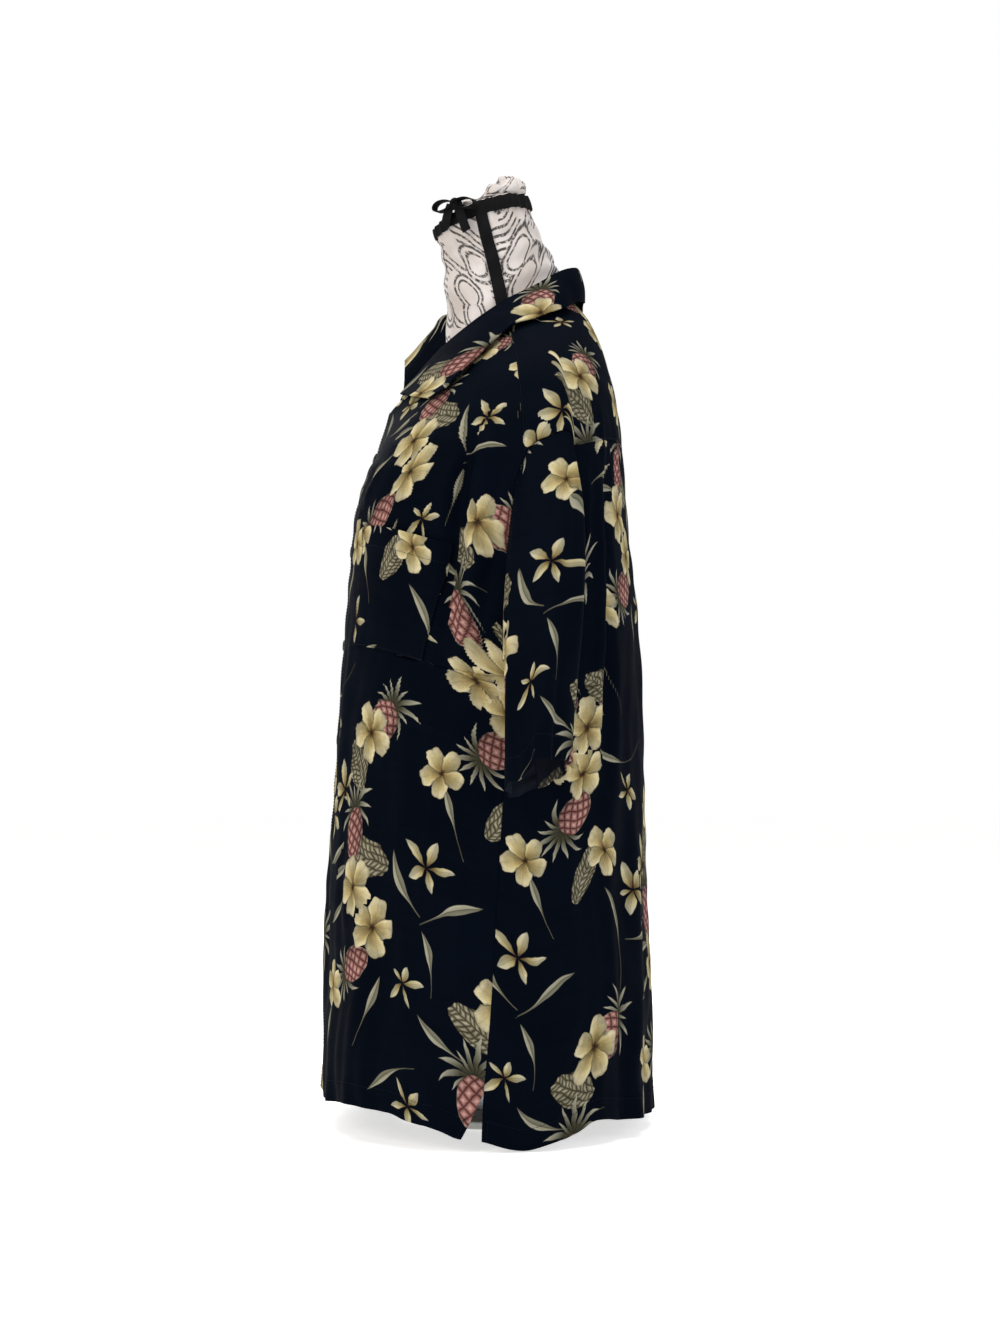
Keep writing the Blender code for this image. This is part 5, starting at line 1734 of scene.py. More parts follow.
@dataclass
class Shirt:
    """The whole shirt: two fronts, back, yoke, sleeves, collar, pocket, buttons and stitching."""

    finishes: Finishes
    body: ShirtBody = field(default_factory=ShirtBody)

    def sew(
        self,
        name: str,
        grid: ClothGrid,
        cut_at: tuple[float, float],
        seams: tuple[Seam, ...],
        node: str = "",
        held: str = "draped",
        thickness: float = CLOTH_THICKNESS,
    ) -> None:
        """Makes one piece of printed cloth from its grid, and stitches it.

        Args:
            name: the piece's name, without its ending.
            grid: its outer face, or its middle where the cloth is folded.
            cut_at: where on the repeat it was cut, in millimetres.
            seams: its rows of stitches.
            node: the CAD node that it stands for, where that has another name.
            held: how it is held.
            thickness: the cloth's thickness.
        """
        flat = grid.flat + MM * np.array(cut_at)
        mesh, faces = grid_mesh(name + "_cloth", grid.points, flat, grid.inside_out)
        places = flat.reshape(-1, 2)[faces]
        if grid.shift is not None:
            places[..., 0] += grid.shift.reshape(-1)[faces].max(axis=1)[:, None]
        for motif in Motif:
            store(mesh, motif.value, print_frames(motif, places))
        rayon = (self.finishes.rayon, self.finishes.rayon_wrong_side)
        made = new_object(name + "_cloth", mesh, *rayon)
        folded = held == "folded"
        shell = made.modifiers.new("wall", "SOLIDIFY")
        shell.thickness = thickness
        shell.offset = 0.0 if folded else -1.0
        shell.material_offset = 0 if folded else 1
        place_piece(made, Slot.SHIRT, node or name)
        lines = [grid.edge_line(*seam) for seam in seams]
        if folded:
            lift = 0.5 * thickness
            lines = [np.stack([points + normals * lift, normals]) for points, normals in lines]
        sewn = stitches(name + "_stitching", lines, self.finishes.thread)

    def body_grid(
        self, angle: Array, level: Array, middle_column: int, side: int = 1, sink: bool = False
    ) -> ClothGrid:
        """A grid of the body's cloth.

        Args:
            angle: angles of the grid, as on the wearer's left.
            level: its levels.
            middle_column: the column where the flat place across is 0.
            side: 1 as given, or -1 for the wearer's right.
            sink: whether the front edge lies under the other front.

        Returns:
            The grid.
        """
        points = self.body.point(side * angle, level)
        if sink:
            start = -FRONT_EXTENSION - LAP_FADE
            depth = LAP_DEPTH * ease((points[..., 0] - start) / LAP_FADE)
            points = points - self.body.normal(side * angle, level) * depth[..., None]
        flat = flattened(points, middle_column)
        flat[..., 0] *= side
        shift = self.body.cut(side * angle, level)
        return ClothGrid(points, flat, shift, inside_out=side < 0)

    def placket(self, grid: ClothGrid) -> None:
        """Raises the folded band down a front edge by a cloth's thickness."""
        steps = np.linalg.norm(np.diff(grid.points, axis=1), axis=-1)
        reach = np.concatenate([np.zeros((len(steps), 1)), np.cumsum(steps, axis=1)], axis=1)
        up = np.arange(len(steps))[:, None] / len(steps)
        rise = FOLDED_RISE * (1.0 - ease((reach - PLACKET_WIDTH) / STEP_FADE))
        ripple = 0.0008 * np.sin(math.tau * up * 23.0 + 1.2 * np.sin(math.tau * up * 5.0))
        rise = rise + ripple * (1.0 - ease(reach / RIPPLE_WIDTH))
        grid.points = grid.points + grid.normals() * rise[..., None]

    def fronts(self) -> None:
        """Both fronts; the left one laps over the right."""
        columns = FRONT_STOPS[-1] * crowded(FRONT_COLUMNS, BODY_CROWDING)
        angle, level = front_places(self.body, columns)
        seams = (
            (Edge.FIRST, 0.004),
            (Edge.FIRST, PLACKET_WIDTH),
            (Edge.LOW, HEM_FOLD),
            (Edge.LAST, EDGE_STITCH, 0.0, 0.075),
        )
        for name, side, cut_at in (
            ("left_front", 1, (196.0, 26.0)),
            ("right_front", -1, (60.0, 188.0)),
        ):
            grid = self.body_grid(angle, level, 0, side, sink=side < 0)
            self.placket(grid)
            self.sew(name, grid, cut_at, seams)

    def back(self) -> None:
        """The back, gathered a little under the yoke."""
        angle, level = back_places()
        grid = self.body_grid(angle, level, angle.shape[1] // 2)
        reach = grid.points[-1:, :, 2] - grid.points[..., 2]
        across = grid.flat[..., 0]
        gather = np.sin(math.tau * across / 0.0135 + 1.5 * np.sin(math.tau * across / 0.083))
        near = bell((np.abs(across) - 0.135) / 0.045) * np.exp(-reach / 0.030)
        grid.points = grid.points + grid.normals() * (0.0009 * gather * near)[..., None]
        seams = (
            (Edge.LOW, HEM_FOLD),
            (Edge.FIRST, EDGE_STITCH, 0.0, 0.09),
            (Edge.LAST, EDGE_STITCH, 0.0, 0.09),
        )
        self.sew("back", grid, (118.0, 86.0), seams)

    def yoke(self) -> None:
        """The yoke over both shoulders, with its seams topstitched."""
        angle, level = yoke_places()
        points = self.body.point(angle, level)
        grid = ClothGrid(points, flattened(points, angle.shape[1] // 2))
        seams = (
            (Edge.LOW, SEAM_STITCH, BACK_SHARES[1], BACK_SHARES[2]),
            (Edge.FIRST, SEAM_STITCH),
            (Edge.LAST, SEAM_STITCH),
        )
        self.sew("yoke", grid, (250.0, 310.0), seams)

    def cuff_point(self, turn: Array) -> Array:
        """Points of the left sleeve's hem at turns in radians."""
        count = len(CUFF_HEIGHTS)
        place = ((np.degrees(turn) - CUFF_FIRST_TURN) % DEGREES_ROUND) / (DEGREES_ROUND / count)
        i = place.astype(int)
        heights = np.array(CUFF_HEIGHTS)
        height = mix(heights[i % count], heights[(i + 1) % count], ease(place - i))
        x = 0.5 * (CUFF_INNER + CUFF_OUTER) + 0.5 * (CUFF_OUTER - CUFF_INNER) * np.cos(turn)
        x = x + CUFF_TUCK * bump(((turn % math.tau) - np.pi) / (0.5 * np.pi))
        y = 0.5 * (CUFF_FRONT + CUFF_BACK) - 0.5 * (CUFF_BACK - CUFF_FRONT) * np.sin(turn)
        return np.stack([x, y, height + HEM_HEIGHT], axis=-1)

    def sleeve_points(self, rings: Array, nodes: Array) -> Array:
        """The left sleeve's outer face, rows from the armhole down and columns round it."""
        turn = math.tau * nodes / ARMHOLE_NODES
        angle, level = armhole_node(nodes)
        normal = self.body.normal(angle, level, smooth=True)
        here = self.body.point(angle, level) - normal * CAP_SINK
        before = self.body.point(*armhole_node(nodes - 0.5))
        after = self.body.point(*armhole_node(nodes + 0.5))
        inward = unit(np.cross(normal, after - before))
        middle = self.body.point(np.array(ARMHOLE_MIDDLE), np.array(ARMHOLE_MIDDLE_V))
        facing = ((middle - here) * inward).sum(-1, keepdims=True)
        start = here + inward * np.sign(facing) * SEAM_GAP
        end = self.cuff_point(turn)
        top_share = (0.5 + 0.5 * np.cos(turn))[:, None]
        high, low = (
            self.body.smooth_point(np.array(ARMHOLE_MIDDLE), np.array(ARMHOLE_TOP + step))
            for step in SHOULDER_SPAN
        )
        level_way = unit(normal + np.array(SLEEVE_LEVEL))
        leave = unit(mix(level_way, unit(low - high), SLEEVE_DROP * top_share**2))
        leave = leave * mix(*SLEEVE_LEAVE, top_share)
        arrive = unit(np.array(SLEEVE_END)) * mix(*SLEEVE_ARRIVE, top_share)
        t = rings[:, None, None]
        t2 = t * t
        t3 = t2 * t
        return (
            start * (2 * t3 - 3 * t2 + 1)
            + leave * (t3 - 2 * t2 + t)
            + end * (3 * t2 - 2 * t3)
            + arrive * (t3 - t2)
        )

    def sleeve_push(self, share: Array, turn: Array, uneven: float) -> Array:
        """How far the sleeve's own folds move its cloth out, in metres.

        Args:
            share: 0 at the armhole to 1 at the hem.
            turn: degrees round the sleeve, 0 at its outer fold and 90 at its front.
            uneven: moves the folds so that the two sleeves differ.

        Returns:
            The push of each point.
        """
        total = np.zeros(np.broadcast(share, turn).shape)
        for i, fold in enumerate(SLEEVE_FOLDS):
            t = (share - fold.start) / (fold.end - fold.start)
            middle = mix(fold.turn_top, fold.turn_low, t) + uneven * 6.0 * math.sin(1.9 * i)
            off = (turn - middle + HALF_ROUND) % DEGREES_ROUND - HALF_ROUND
            size = fold.height * (1.0 + uneven * 0.3 * math.sin(2.3 * i + 1.0))
            total += size * bump(off / (1.6 * fold.half_width)) * ease(t / 0.5)
        wave = np.sin(math.tau * turn / 37.0 + 5.0 * share + uneven)
        total += 0.0006 * wave * ease(share / 0.3)
        total += 0.0011 * np.sin(math.tau * turn / 24.0 + uneven) * ease((share - 0.86) / 0.14)
        across = np.sin(math.tau * share * 7.0 + 0.05 * turn) * bump((turn - HALF_ROUND) / 90.0)
        return total + 0.0012 * across * ease(share / 0.2) * ease((1.0 - share) / 0.2)

    def sleeves(self) -> None:
        """Both short sleeves, open at the armhole and at the hem."""
        rings = crowded(SLEEVE_ROWS, 0.62)
        nodes = np.linspace(UNDERARM_NODE - ARMHOLE_NODES, UNDERARM_NODE, SLEEVE_COLUMNS + 1)
        turn = DEGREES_ROUND * nodes / ARMHOLE_NODES
        plain = self.sleeve_points(rings, nodes)
        flat = flattened_from_hem(plain, len(nodes) // 2)
        steps = np.linalg.norm(np.diff(plain, axis=0), axis=-1)
        left = np.cumsum(steps[::-1], axis=0)[::-1]
        left = np.concatenate([left, np.zeros((1, left.shape[1]))])
        hem = FOLDED_RISE * (1.0 - ease((left - CUFF_HEM) / STEP_FADE))
        centre = plain.mean(axis=1, keepdims=True)
        for name, side, uneven, cut_at in (
            ("left_sleeve", 1, 0.0, (146.0, 67.0)),
            ("right_sleeve", -1, 1.0, (190.0, 20.0)),
        ):
            grid = ClothGrid(plain, flat * np.array([-side, 1.0]))
            out = grid.normals()
            if ((plain - centre) * out).sum() < 0:
                grid.inside_out = True
                out = -out
            push = self.sleeve_push(rings[:, None], turn[None, :], uneven) + hem
            grid.points = plain + out * push[..., None]
            if side < 0:
                grid.points = grid.points * np.array([-1.0, 1.0, 1.0])
                grid.inside_out = not grid.inside_out
            self.sew(name, grid, cut_at, ((Edge.HIGH, CUFF_HEM), (Edge.LOW, 0.0025)))

    def collar_line(self, place: float, side: int) -> Array:
        """The middle of the collar's cloth at one station, from the neck seam over the crown."""
        read = {n: float(smooth_read(c, np.array(place))) for n, c in COLLAR_COLUMNS.items()}
        angle = np.array(side * read["seam_angle"])
        neck = np.array(NECKLINE)
        seam = self.body.smooth_point(angle, neck)
        seam = seam - self.body.normal(angle, neck, smooth=True) * COLLAR_SINK
        before, after = (self.body.smooth_point(angle + step, neck) for step in (-1.0, 1.0))
        around = after - before
        out = unit(np.array([around[1], -around[0], 0.0]))
        up = np.array([0.0, 0.0, 1.0])
        stand = read["stand"]
        lean = read["lean"]
        edge_angle = np.array(side * read["edge_angle"])
        edge_level = np.array(NECKLINE - read["fall"])
        edge = self.body.smooth_point(edge_angle, edge_level)
        edge = edge + self.body.normal(edge_angle, edge_level, smooth=True) * read["lift"]
        shoulder = seam + up * (stand - COLLAR_ROLL) + out * (lean + 2.0 * COLLAR_ROLL)
        line = [
            seam + up * COLLAR_SEAT,
            seam + up * (COLLAR_HALF_STAND * stand) + out * (0.5 * lean),
            seam + up * (stand - COLLAR_ROLL) + out * lean,
            seam + up * stand + out * (lean + COLLAR_ROLL),
            shoulder,
        ]
        for t in COLLAR_FALL_STEPS:
            line.append(mix(shoulder, edge, t) + out * (COLLAR_BULGE * math.sin(math.pi * t)))
        made = np.array(line)
        if side > 0:
            return made
        low = made[0]
        top = low + np.array([-read["open_out"], -read["open_forward"], read["open_up"]])
        bend = low + np.array([0.0, 0.0, 0.6 * read["open_up"]])
        t = np.array(OPEN_STEPS)[:, None]
        stood = low * (1.0 - t) ** 2 + bend * (2.0 * t * (1.0 - t)) + top * t**2
        return mix(made, stood, min(max(read["open_share"], 0.0), 1.0))

    def collar(self) -> None:
        """The collar from point to point round the neck: stand and fall in one folded cloth."""
        places = np.linspace(0.0, LAST_STATION, COLLAR_HALF_COLUMNS + 1)
        lines = [self.collar_line(p, 1) for p in places[::-1]]
        lines += [self.collar_line(p, -1) for p in places[1:]]
        across = np.concatenate([np.linspace(0.0, 5.0, 26)[:-1], np.linspace(5.0, 7.0, 22)])
        spread = [
            np.stack([smooth_read(line[:, k], across) for k in range(3)], axis=-1) for line in lines
        ]
        points = np.stack(spread, axis=1)
        grid = ClothGrid(points, flattened(points, COLLAR_HALF_COLUMNS))
        fall = ease((across[:, None] - 4.0) / 2.0)
        along = grid.flat[..., 0]
        wave = np.sin(math.tau * along / 0.071 + 1.1) + 0.6 * np.sin(math.tau * along / 0.038)
        grid.points = grid.points + grid.normals() * (0.0007 * wave * fall)[..., None]
        # cut along the cloth, so that the garlands run from leaf to leaf
        grid.flat = np.stack([-grid.flat[..., 1], grid.flat[..., 0]], axis=-1)
        seams = (
            (Edge.HIGH, EDGE_STITCH),
            (Edge.FIRST, EDGE_STITCH, 0.45, 1.0),
            (Edge.LAST, EDGE_STITCH, 0.45, 1.0),
        )
        self.sew(
            "collar",
            grid,
            (138.0, 72.0),
            seams,
            held="folded",
            thickness=COLLAR_THICKNESS,
        )

    def pocket(self) -> None:
        """The patch pocket on the left chest, its mouth a little slack."""
        outer, level = armhole_node(np.linspace(UNDERARM_NODE, POCKET_TOP_NODE, 57))
        columns = np.linspace(FRONT_STOPS[1], FRONT_STOPS[2], 61)
        angle, grid_level = spread_front(self.body, level, outer, columns)
        points = self.body.point(angle, grid_level)
        normals = self.body.normal(angle, grid_level)
        up = np.linspace(0.0, 1.0, len(level))[:, None]
        middle = np.sin(np.pi * np.linspace(0.0, 1.0, len(columns))[None, :])
        lift = 0.0014 + 0.0026 * middle * ease((up - 0.5) / 0.5)
        lift = lift + 0.0012 * middle * np.sin(np.pi * up)
        lift = lift + 0.0006 * ease((up - 0.86) / 0.02)
        grid = ClothGrid(points + normals * lift[..., None], flattened(points, 0))
        seams = (
            (Edge.LOW, SEAM_STITCH),
            (Edge.FIRST, SEAM_STITCH),
            (Edge.LAST, SEAM_STITCH),
            (Edge.HIGH, POCKET_HEM),
        )
        self.sew(
            "pocket", grid, (148.0, 236.0), seams, node="chest_pocket"
        )

    def plain_button(self) -> bpy.types.Mesh:
        """A button with a raised rim and a dished middle, facing +Z."""
        bm = bmesh.new()
        path = [
            bm.verts.new((BUTTON_RADIUS * r, 0.0, BUTTON_THICKNESS * z)) for r, z in BUTTON_PROFILE
        ]
        edges = [bm.edges.new(pair) for pair in zip(path, path[1:])]
        bmesh.ops.spin(
            bm, geom=path + edges, cent=(0, 0, 0), axis=(0, 0, 1), angle=math.tau, steps=40
        )
        bmesh.ops.remove_doubles(bm, verts=bm.verts, dist=0.00002)
        bmesh.ops.recalc_face_normals(bm, faces=bm.faces)
        mesh = bpy.data.meshes.new("button")
        bm.to_mesh(mesh)
        bm.free()
        return mesh

    def buttons(self) -> None:
        """Six buttons, each drilled with four holes and sewn through, in its buttonhole."""
        for i in range(BUTTON_COUNT):
            node = "button_%d" % (i + 1)
            low, high = (np.array(corner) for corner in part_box(node))
            centre = Vector((low + high) / 2.0)
            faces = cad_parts[node].data.polygons
            axis = sum((f.normal * f.area for f in faces if f.normal.y < -0.5), Vector())
            drilled = self.drilled_button(node + "_turned")
            turn = Vector((0.0, 0.0, 1.0)).rotation_difference(axis)
            place = Matrix.Translation(centre) @ turn.to_matrix().to_4x4()
            spin = Matrix.Rotation(0.5 * i + 0.3, 4, "Z")
            drilled.data.transform(place @ spin)
            place_piece(drilled, Slot.BUTTONS, node)
            self.sewn_button(node, place, spin)

    def drilled_button(self, name: str) -> bpy.types.Object:
        """One button at the origin, with its four holes cut."""
        button = new_object(name, self.plain_button())
        bm = bmesh.new()
        for k in range(4):
            turn = math.radians(45.0 + 90.0 * k)
            x = BUTTON_HOLE_SPREAD * math.cos(turn)
            y = BUTTON_HOLE_SPREAD * math.sin(turn)
            bmesh.ops.create_cone(
                bm,
                cap_ends=True,
                segments=16,
                radius1=BUTTON_HOLE_RADIUS,
                radius2=BUTTON_HOLE_RADIUS,
                depth=3.0 * BUTTON_THICKNESS,
                matrix=Matrix.Translation((x, y, 0.0)),
            )
        drill = new_object("drill", bm)
        cut = button.modifiers.new("holes", "BOOLEAN")
        cut.operation = "DIFFERENCE"
        cut.object = drill
        bpy.context.view_layer.update()
        solid = bpy.data.meshes.new_from_object(
            button.evaluated_get(bpy.context.evaluated_depsgraph_get())
        )
        button.modifiers.clear()
        button.data = solid
        bpy.data.objects.remove(drill)
        solid.materials.clear()
        solid.materials.append(self.finishes.resin)
        solid.shade_smooth()
        solid.set_sharp_from_angle(angle=BUTTON_SHARP)
        return button

    def sewn_button(self, node: str, place: Matrix, spin: Matrix) -> None:
        """Thread through a button's holes, and the bound buttonhole under it."""
        bm = bmesh.new()
        for side in (-1.0, 1.0):
            for lane in (-THREAD_LANE, THREAD_LANE):
                bar = Matrix.Translation((side * THREAD_SIDE + lane, 0.0, THREAD_RISE))
                ball(bm, 8, 6, spin @ bar @ Matrix.Diagonal((*THREAD_BAR, 1.0)))
        sunk = -BUTTON_THICKNESS / 2.0 - SEAM_GAP + BOUND_RISE
        for side in (-1.0, 1.0):
            for k in range(BOUND_COUNT):
                along = (k / (BOUND_COUNT - 1.0) - 0.5) * BUTTONHOLE_LENGTH
                rod = Matrix.Translation((side * BOUND_SIDE, along, sunk))
                ball(bm, 6, 4, rod @ Matrix.Diagonal((*BOUND_ROD, 1.0)))
        bmesh.ops.transform(bm, matrix=place, verts=bm.verts)
        place_piece(new_object(node + "_thread", bm, self.finishes.thread), Slot.SHIRT)

    def build(self) -> None:
        """Makes the whole shirt."""
        self.fronts()
        self.back()
        self.yoke()
        self.sleeves()
        self.collar()
        self.pocket()
        self.buttons()


@dataclass
class DressForm:
    """The form in its printed cover, with its gathered top and its tapes."""

    finishes: Finishes
    rings: RingStack = field(default_factory=lambda: RingStack(FORM_RINGS))
    columns: int = 144

    def surface(self, angle: Array, level: Array) -> Array:
        """The cover's outer face, creased a little at the neck."""
        points = self.rings.point(angle, level)
        normals = self.rings.normal(angle, np.minimum(level, NECK_TOP - 0.03))
        turn = np.radians(angle)
        neck = ease((level - 12.4) / 1.2)
        gather = ease((level - 14.6) / 1.2)
        push = 0.0010 * np.sin(9.0 * turn + 1.6 * level) * neck
        waves = np.sin(level * 7.3 + 2.2 * np.sin(2.0 * turn))
        push = push + 0.0014 * waves * neck * (1.0 - gather)
        push = push + 0.0012 * np.sin(23.0 * turn + 2.0 * np.sin(3.0 * turn)) * gather
        return points + normals * push[..., None]

    def torso(self) -> None:
        """Shoulders, bust, waist and neck, closed below by the cover's flat underside."""
        levels = np.concatenate([np.linspace(0.0, 12.0, 73)[:-1], np.linspace(12.0, NECK_TOP, 70)])
        angles = np.linspace(-HALF_ROUND, HALF_ROUND, self.columns + 1)
        points = self.surface(*np.meshgrid(angles, levels))
        points[:, -1] = points[:, 0]
        flat = flattened(points, self.columns // 2)
        middle = points[0, :-1].mean(axis=0)
        top = points[-1, :-1].mean(axis=0)
        grid = np.concatenate(
            [
                np.stack([mix(middle, points[0], share) for share in UNDERSIDE_SHARES]),
                points,
                np.stack([mix(top, points[-1], share) for share in LID_SHARES]),
            ]
        )
        under_flat = [mix(flat[0].mean(axis=0), flat[0], share) for share in UNDERSIDE_SHARES]
        lid_flat = flat[-1:].repeat(len(LID_SHARES), axis=0)
        grid_flat = np.concatenate([np.stack(under_flat), flat, lid_flat])
        made = self.closed_piece("form_torso_cover", grid, grid_flat)
        place_piece(made, Slot.COVER, "form_torso")

    def closed_piece(self, name: str, points: Array, flat: Array) -> bpy.types.Object:
        """Joins a grid whose last column meets its first, and closes its two ends."""
        mesh, _ = grid_mesh(name, points, flat)
        bm = bmesh.new()
        bm.from_mesh(mesh)
        bmesh.ops.remove_doubles(bm, verts=bm.verts, dist=0.00001)
        bmesh.ops.holes_fill(bm, edges=bm.edges, sides=0)
        bmesh.ops.recalc_face_normals(bm, faces=bm.faces)
        bm.to_mesh(mesh)
        bm.free()
        return new_object(name, mesh, self.finishes.jersey)

    def cap(self) -> None:
        """The cover's gathered top: a crumpled mound of cloth above the tape."""
        angles = np.linspace(-HALF_ROUND, HALF_ROUND, self.columns + 1)
        base = self.rings.point(angles, np.full_like(angles, NECK_TOP))
        middle = base[:-1].mean(axis=0)
        quarter = self.columns // 4
        axis = unit(np.cross(base[0] - middle, base[quarter] - middle))
        axis = axis * math.copysign(1.0, axis[2])
        shares = np.linspace(0.0, len(CAP_PROFILE) - 1.0, 34)
        reach, rise = (smooth_read(column, shares) for column in np.array(CAP_PROFILE).T)
        turn = np.radians(angles)
        back_share = 0.5 + 0.5 * (base[:, 1] - middle[1]) / 0.047
        rows = []
        for share, out, up in zip(shares, reach, rise):
            pleat = np.sin(11.0 * turn + 1.5 * np.sin(2.0 * turn) + 0.9 * share)
            pleat = pleat + 0.7 * np.sin(5.0 * turn + 1.3 * share + 1.0)
            crumple = 1.0 + 0.16 * pleat * min(share / 1.2, 1.0)
            height = TAPE_GAP + up * (0.6 + 0.7 * back_share) * crumple
            sway = out * (1.0 + 0.055 * pleat * min(share, 1.0))
            lean = np.array([0.0, CAP_LEAN * up / CAP_PROFILE[-1][1], 0.0])
            rows.append(middle + lean + (base - middle) * sway[:, None] + axis * height[:, None])
        rows += [mix(rows[-1][:-1].mean(axis=0), rows[-1], share) for share in (0.6, 0.3, 0.03)]
        grid = np.stack(rows)
        grid[:, -1] = grid[:, 0]
        made = self.closed_piece("form_neck_cap_cover", grid, flattened(grid, self.columns // 2))
        place_piece(made, Slot.COVER, "form_neck_cap")

    def tape_piece(self, name: str, geometry: bmesh.types.BMesh) -> bpy.types.Object:
        """A piece of woven tape with crisp edges, placed as the node that it is named for."""
        made = new_object(name + "_twill", geometry, self.finishes.twill)
        made.data.set_sharp_from_angle(angle=TAPE_SHARP)
        return place_piece(made, Slot.TAPE, name)

    def band(self, name: str, points: Array, normals: Array, closed: bool) -> bpy.types.Object:
        """A woven tape: a thin wall on a grid of points.

        Args:
            name: the node that it stands for.
            points: its inner face, rows along its width.
            normals: the outward way at each point.
            closed: whether the last column meets the first.

        Returns:
            The object.
        """
        rows, columns = points.shape[:2]
        outer = points + normals * TAPE_THICKNESS
        verts = np.concatenate([points.reshape(-1, 3), outer.reshape(-1, 3)])
        shift = rows * columns
        index = np.arange(shift).reshape(rows, columns)
        steps = [(j, (j + 1) % columns) for j in range(columns if closed else columns - 1)]
        faces = []
        for i in range(rows - 1):
            for j, k in steps:
                quad = (index[i, j], index[i, k], index[i + 1, k], index[i + 1, j])
                faces += [quad[::-1], tuple(v + shift for v in quad)]
        ends = [(index[i, j], index[i, k], i > 0) for i in (0, rows - 1) for j, k in steps]
        if not closed:
            for j in (0, columns - 1):
                ends += [(index[i, j], index[i + 1, j], j == 0) for i in range(rows - 1)]
        for a, b, flip in ends:
            quad = (a, b, b + shift, a + shift)
            faces.append(quad[::-1] if flip else quad)
        mesh = bpy.data.meshes.new(name)
        mesh.from_pydata(verts.tolist(), [], [tuple(int(v) for v in face) for face in faces])
        bm = bmesh.new()
        bm.from_mesh(mesh)
        bpy.data.meshes.remove(mesh)
        bmesh.ops.recalc_face_normals(bm, faces=bm.faces)
        return self.tape_piece(name, bm)

    def tapes(self) -> None:
        """The tape round the neck, the two that run down it, and the bow."""
        angles = np.linspace(-HALF_ROUND, HALF_ROUND, self.columns + 1)[:-1]
        angle, level = np.meshgrid(angles, np.linspace(TAPE_RING_LOW, TAPE_RING_HIGH, RING_ROWS))
        normals = self.rings.normal(angle, level)
        width = np.linspace(-1.0, 1.0, RING_ROWS)[:, None]
        pucker = 0.0004 * np.sin(np.radians(angle) * 17.0) + 0.0016
        points = self.surface(angle, level) + normals * (pucker - 0.0004 * width**2)[..., None]
        ring = self.band("form_neck_tape", points, normals, closed=True)
        for node, side in (("form_side_tape_left", 1.0), ("form_side_tape_right", -1.0)):
            level = np.linspace(SIDE_TAPE_LOW, SIDE_TAPE_HIGH + 0.1, 60)[None, :]
            reach = self.rings.read("front", level) + self.rings.read("side_y", level)
            half = np.degrees(0.5 * TAPE_WIDTH / reach)
            across = np.linspace(-1.0, 1.0, SIDE_TAPE_ROWS)[:, None]
            angle = side * 90.0 + half * across
            level = np.broadcast_to(level, angle.shape)
            normals = self.rings.normal(angle, level)
            lift = 0.0016 + 0.0003 * np.sin(6.0 * level) - 0.0003 * across**2
            points = self.surface(angle, level) + normals * lift[..., None]
            tape = self.band(node, points, normals, closed=False)
        self.bow()

    def bow(self) -> None:
        """The tape's knot, with two loops and two short ends."""
        low, high = (np.array(corner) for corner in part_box("form_bow"))
        centre = (low + high) / 2.0
        level = np.array(0.5 * (TAPE_RING_LOW + TAPE_RING_HIGH))
        out = self.rings.normal(np.array(BOW_ANGLE), level)
        along = unit(np.cross(np.array([0.0, 0.0, 1.0]), out))
        up = np.cross(out, along)
        strips = []
        for side, length, droop in BOW_LOOPS:
            turn = np.linspace(0.0, math.tau, 41)
            x = side * 0.5 * length * (1.0 - np.cos(turn))
            y = 0.0052 * np.sin(turn) * (1.0 - 0.25 * np.cos(turn))
            line = centre + np.outer(x, along) + np.outer(y, up)
            line = line - np.outer(droop * (x / length) ** 2, up) + out * 0.001
            strips.append((line, out))
        for side, length in BOW_ENDS:
            t = np.linspace(0.0, 1.0, 24)
            x = side * (0.004 + 0.35 * length * t)
            z = 0.0015 * np.sin(3.0 * t) + 0.001
            line = centre + np.outer(x, along) + np.outer(-length * t, up) + np.outer(z, out)
            strips.append((line, along))
        bm = bmesh.new()
        for line, wide in strips:
            self.sweep(bm, line, wide, BOW_HALF_WIDTH)
        turned = Matrix((Vector(along), Vector(out), Vector(up))).transposed().to_4x4()
        knot = Matrix.Translation(Vector(centre)) @ turned @ Matrix.Diagonal((*KNOT_SIZE, 1.0))
        bmesh.ops.create_icosphere(bm, subdivisions=3, radius=1.0, matrix=knot)
        self.tape_piece("form_bow", bm)

    def sweep(self, bm: bmesh.types.BMesh, line: Array, wide: Array, half: float) -> None:
        """Adds a strip of tape along a line, as wide as given across it."""
        way = unit(np.gradient(line, axis=0))
        wide = unit(wide - way * (way @ wide)[:, None])
        thin = np.cross(way, wide) * (0.5 * TAPE_THICKNESS)
        rings = []
        for i, spot in enumerate(line):
            corners = [
                spot + wide[i] * half * a + thin[i] * b
                for a, b in ((-1, -1), (1, -1), (1, 1), (-1, 1))
            ]
            rings.append([bm.verts.new(c) for c in corners])
        for one, two in zip(rings, rings[1:]):
            for j in range(4):
                k = (j + 1) % 4
                bm.faces.new((one[j], one[k], two[k], two[j]))
        bm.faces.new(rings[0][::-1])
        bm.faces.new(rings[-1])

    def stand(self) -> None:
        """The post and the foot keep their CAD shapes and take their finishes."""
        finishes = {"stand_post": self.finishes.steel, "stand_foot": self.finishes.paint}
        for node, finish in finishes.items():
            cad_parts[node].material_slots[0].material = finish

    def build(self) -> None:
        """Makes the form and dresses its stand."""
        self.torso()
        self.cap()
        self.tapes()
        self.stand()


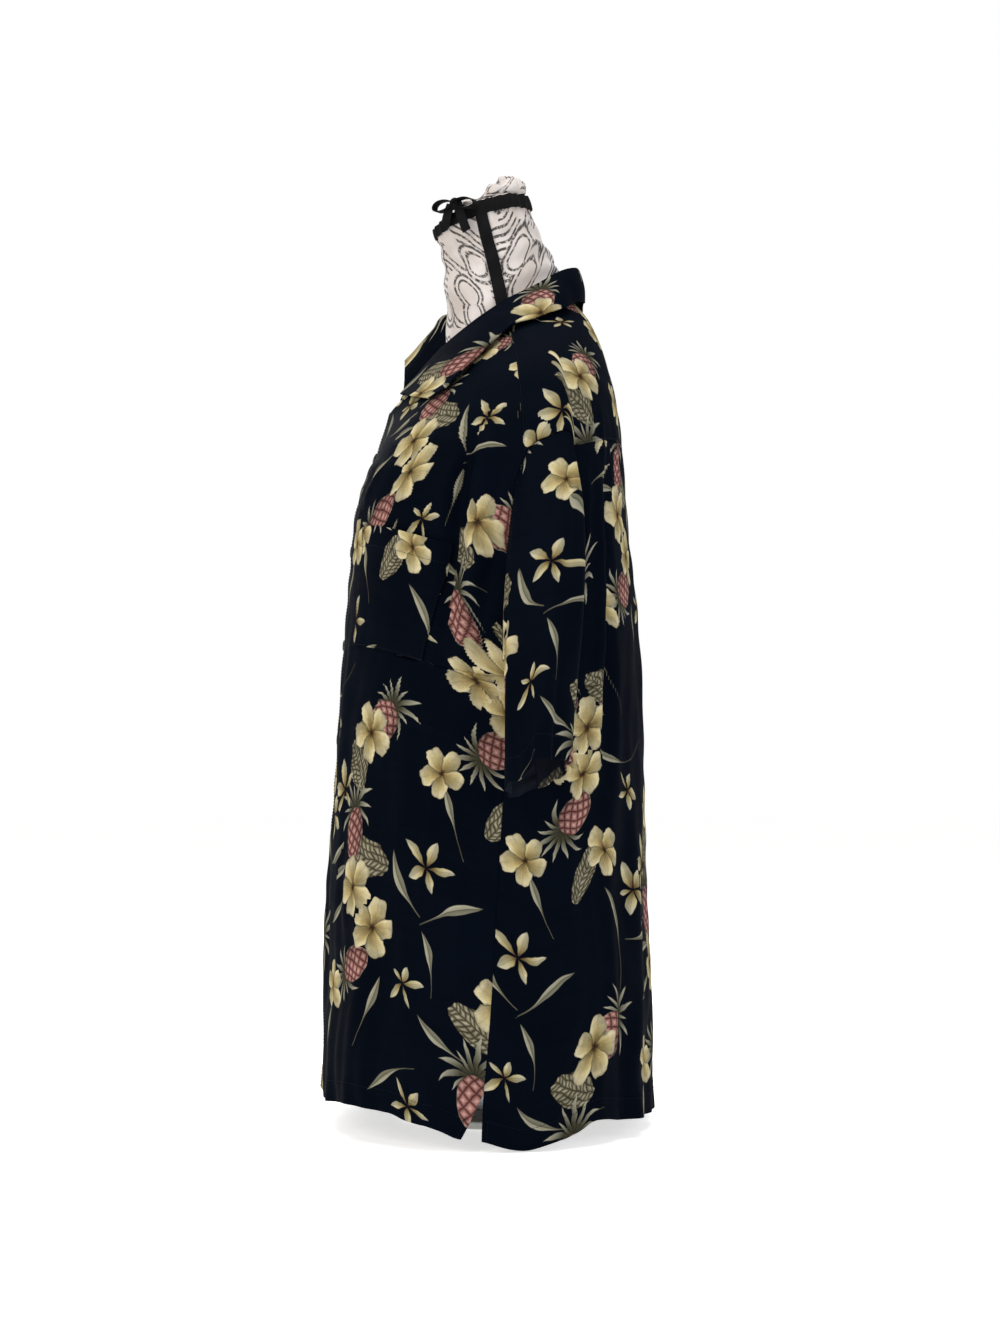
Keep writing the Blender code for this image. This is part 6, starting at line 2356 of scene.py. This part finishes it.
@dataclass
class Studio:
    """A plain pale floor and backdrop, soft lights and the camera."""

    distance: float = 2.22
    camera_y: float = 0.0114
    camera_height: float = 0.325
    tilt: float = 3.64
    lens: float = 76.8
    floor_radius: float = 40.0
    floor_glow: float = 0.62  # evens out the far floor, which the lights do not reach
    surround: float = 0.42  # strength of the white surround, but for the camera, which sees 1

    def floor(self) -> None:
        """A wide pale floor under the stand's foot."""
        made, drawing = new_material("matt_studio_floor")
        drawing.draw(
            ("place", "coordinates"),
            ("cloudy", "noise", "place.Generated", 3.0, 2.0),
            ("colour", "blend", "cloudy", linear("#f1f1f0"), linear("#f4f4f3")),
        )
        drawing.shade(
            Base_Color="colour",
            Roughness=0.9,
            Specular_IOR_Level=0.1,
            Emission_Color=linear("#ffffff"),
            Emission_Strength=self.floor_glow,
        )
        bm = bmesh.new()
        bmesh.ops.create_circle(bm, cap_ends=True, segments=96, radius=self.floor_radius)
        floor = new_object("studio_floor", bm, made)

    def lamp(
        self, name: str, place: tuple[float, float, float], size: float, power: float, colour: str
    ) -> None:
        """A square soft light that looks at the middle of the shirt."""
        data = bpy.data.lights.new(name, "AREA")
        data.size = size
        data.energy = power
        data.color = linear(colour)[:3]
        made = bpy.data.objects.new(name, data)
        made.location = place
        aim = Vector((0.0, 0.0, 0.5)) - Vector(place)
        made.rotation_euler = aim.to_track_quat("-Z", "Y").to_euler()
        bpy.context.scene.collection.objects.link(made)

    def lights(self) -> None:
        """Soft light from above and from both sides of the camera, and a white surround."""
        self.lamp("overhead", (0.3, -0.2, 3.2), 2.6, 78.0, "#ffffff")
        self.lamp("front_left", (2.6, -2.2, 1.9), 1.8, 52.0, "#fffaf2")
        self.lamp("back_left", (2.2, 2.4, 1.6), 1.6, 30.0, "#f2f6ff")
        self.lamp("far_side", (-2.8, -0.6, 1.8), 1.8, 34.0, "#ffffff")
        world = bpy.data.worlds.new("white_surround")
        bpy.context.scene.world = world
        world.use_nodes = True
        tree = world.node_tree
        tree.nodes.clear()
        path = add_node(tree, "ShaderNodeLightPath")
        strength = add_node(
            tree, RANGE, {0: path.outputs["Is Camera Ray"], 3: self.surround, 4: 1.0}
        )
        shown = add_node(
            tree, "ShaderNodeBackground", {"Color": linear("#ffffff"), "Strength": strength}
        )
        add_node(tree, "ShaderNodeOutputWorld", {"Surface": shown})

    def camera(self) -> None:
        """The camera at the wearer's left, a little under the middle and looking slightly up."""
        data = bpy.data.cameras.new("camera")
        data.sensor_width = 36.0
        data.sensor_fit = "HORIZONTAL"
        data.lens = self.lens
        made = bpy.data.objects.new("camera", data)
        made.location = (self.distance, self.camera_y, self.camera_height)
        made.rotation_euler = (math.radians(90.0 + self.tilt), 0.0, math.radians(90.0))
        bpy.context.scene.collection.objects.link(made)
        bpy.context.scene.camera = made

    def build(self) -> None:
        """Sets the stage."""
        self.floor()
        self.lights()
        self.camera()
        bpy.context.scene.view_settings.view_transform = "Standard"


def main() -> None:
    """Builds the stage, the shirt and the form."""
    logging.basicConfig(level=logging.INFO, format="%(name)s: %(message)s")
    finishes = Finishes.made()
    Studio().build()
    Shirt(finishes).build()
    DressForm(finishes).build()
    bpy.context.view_layer.update()


if __name__ == "__main__":
    main()
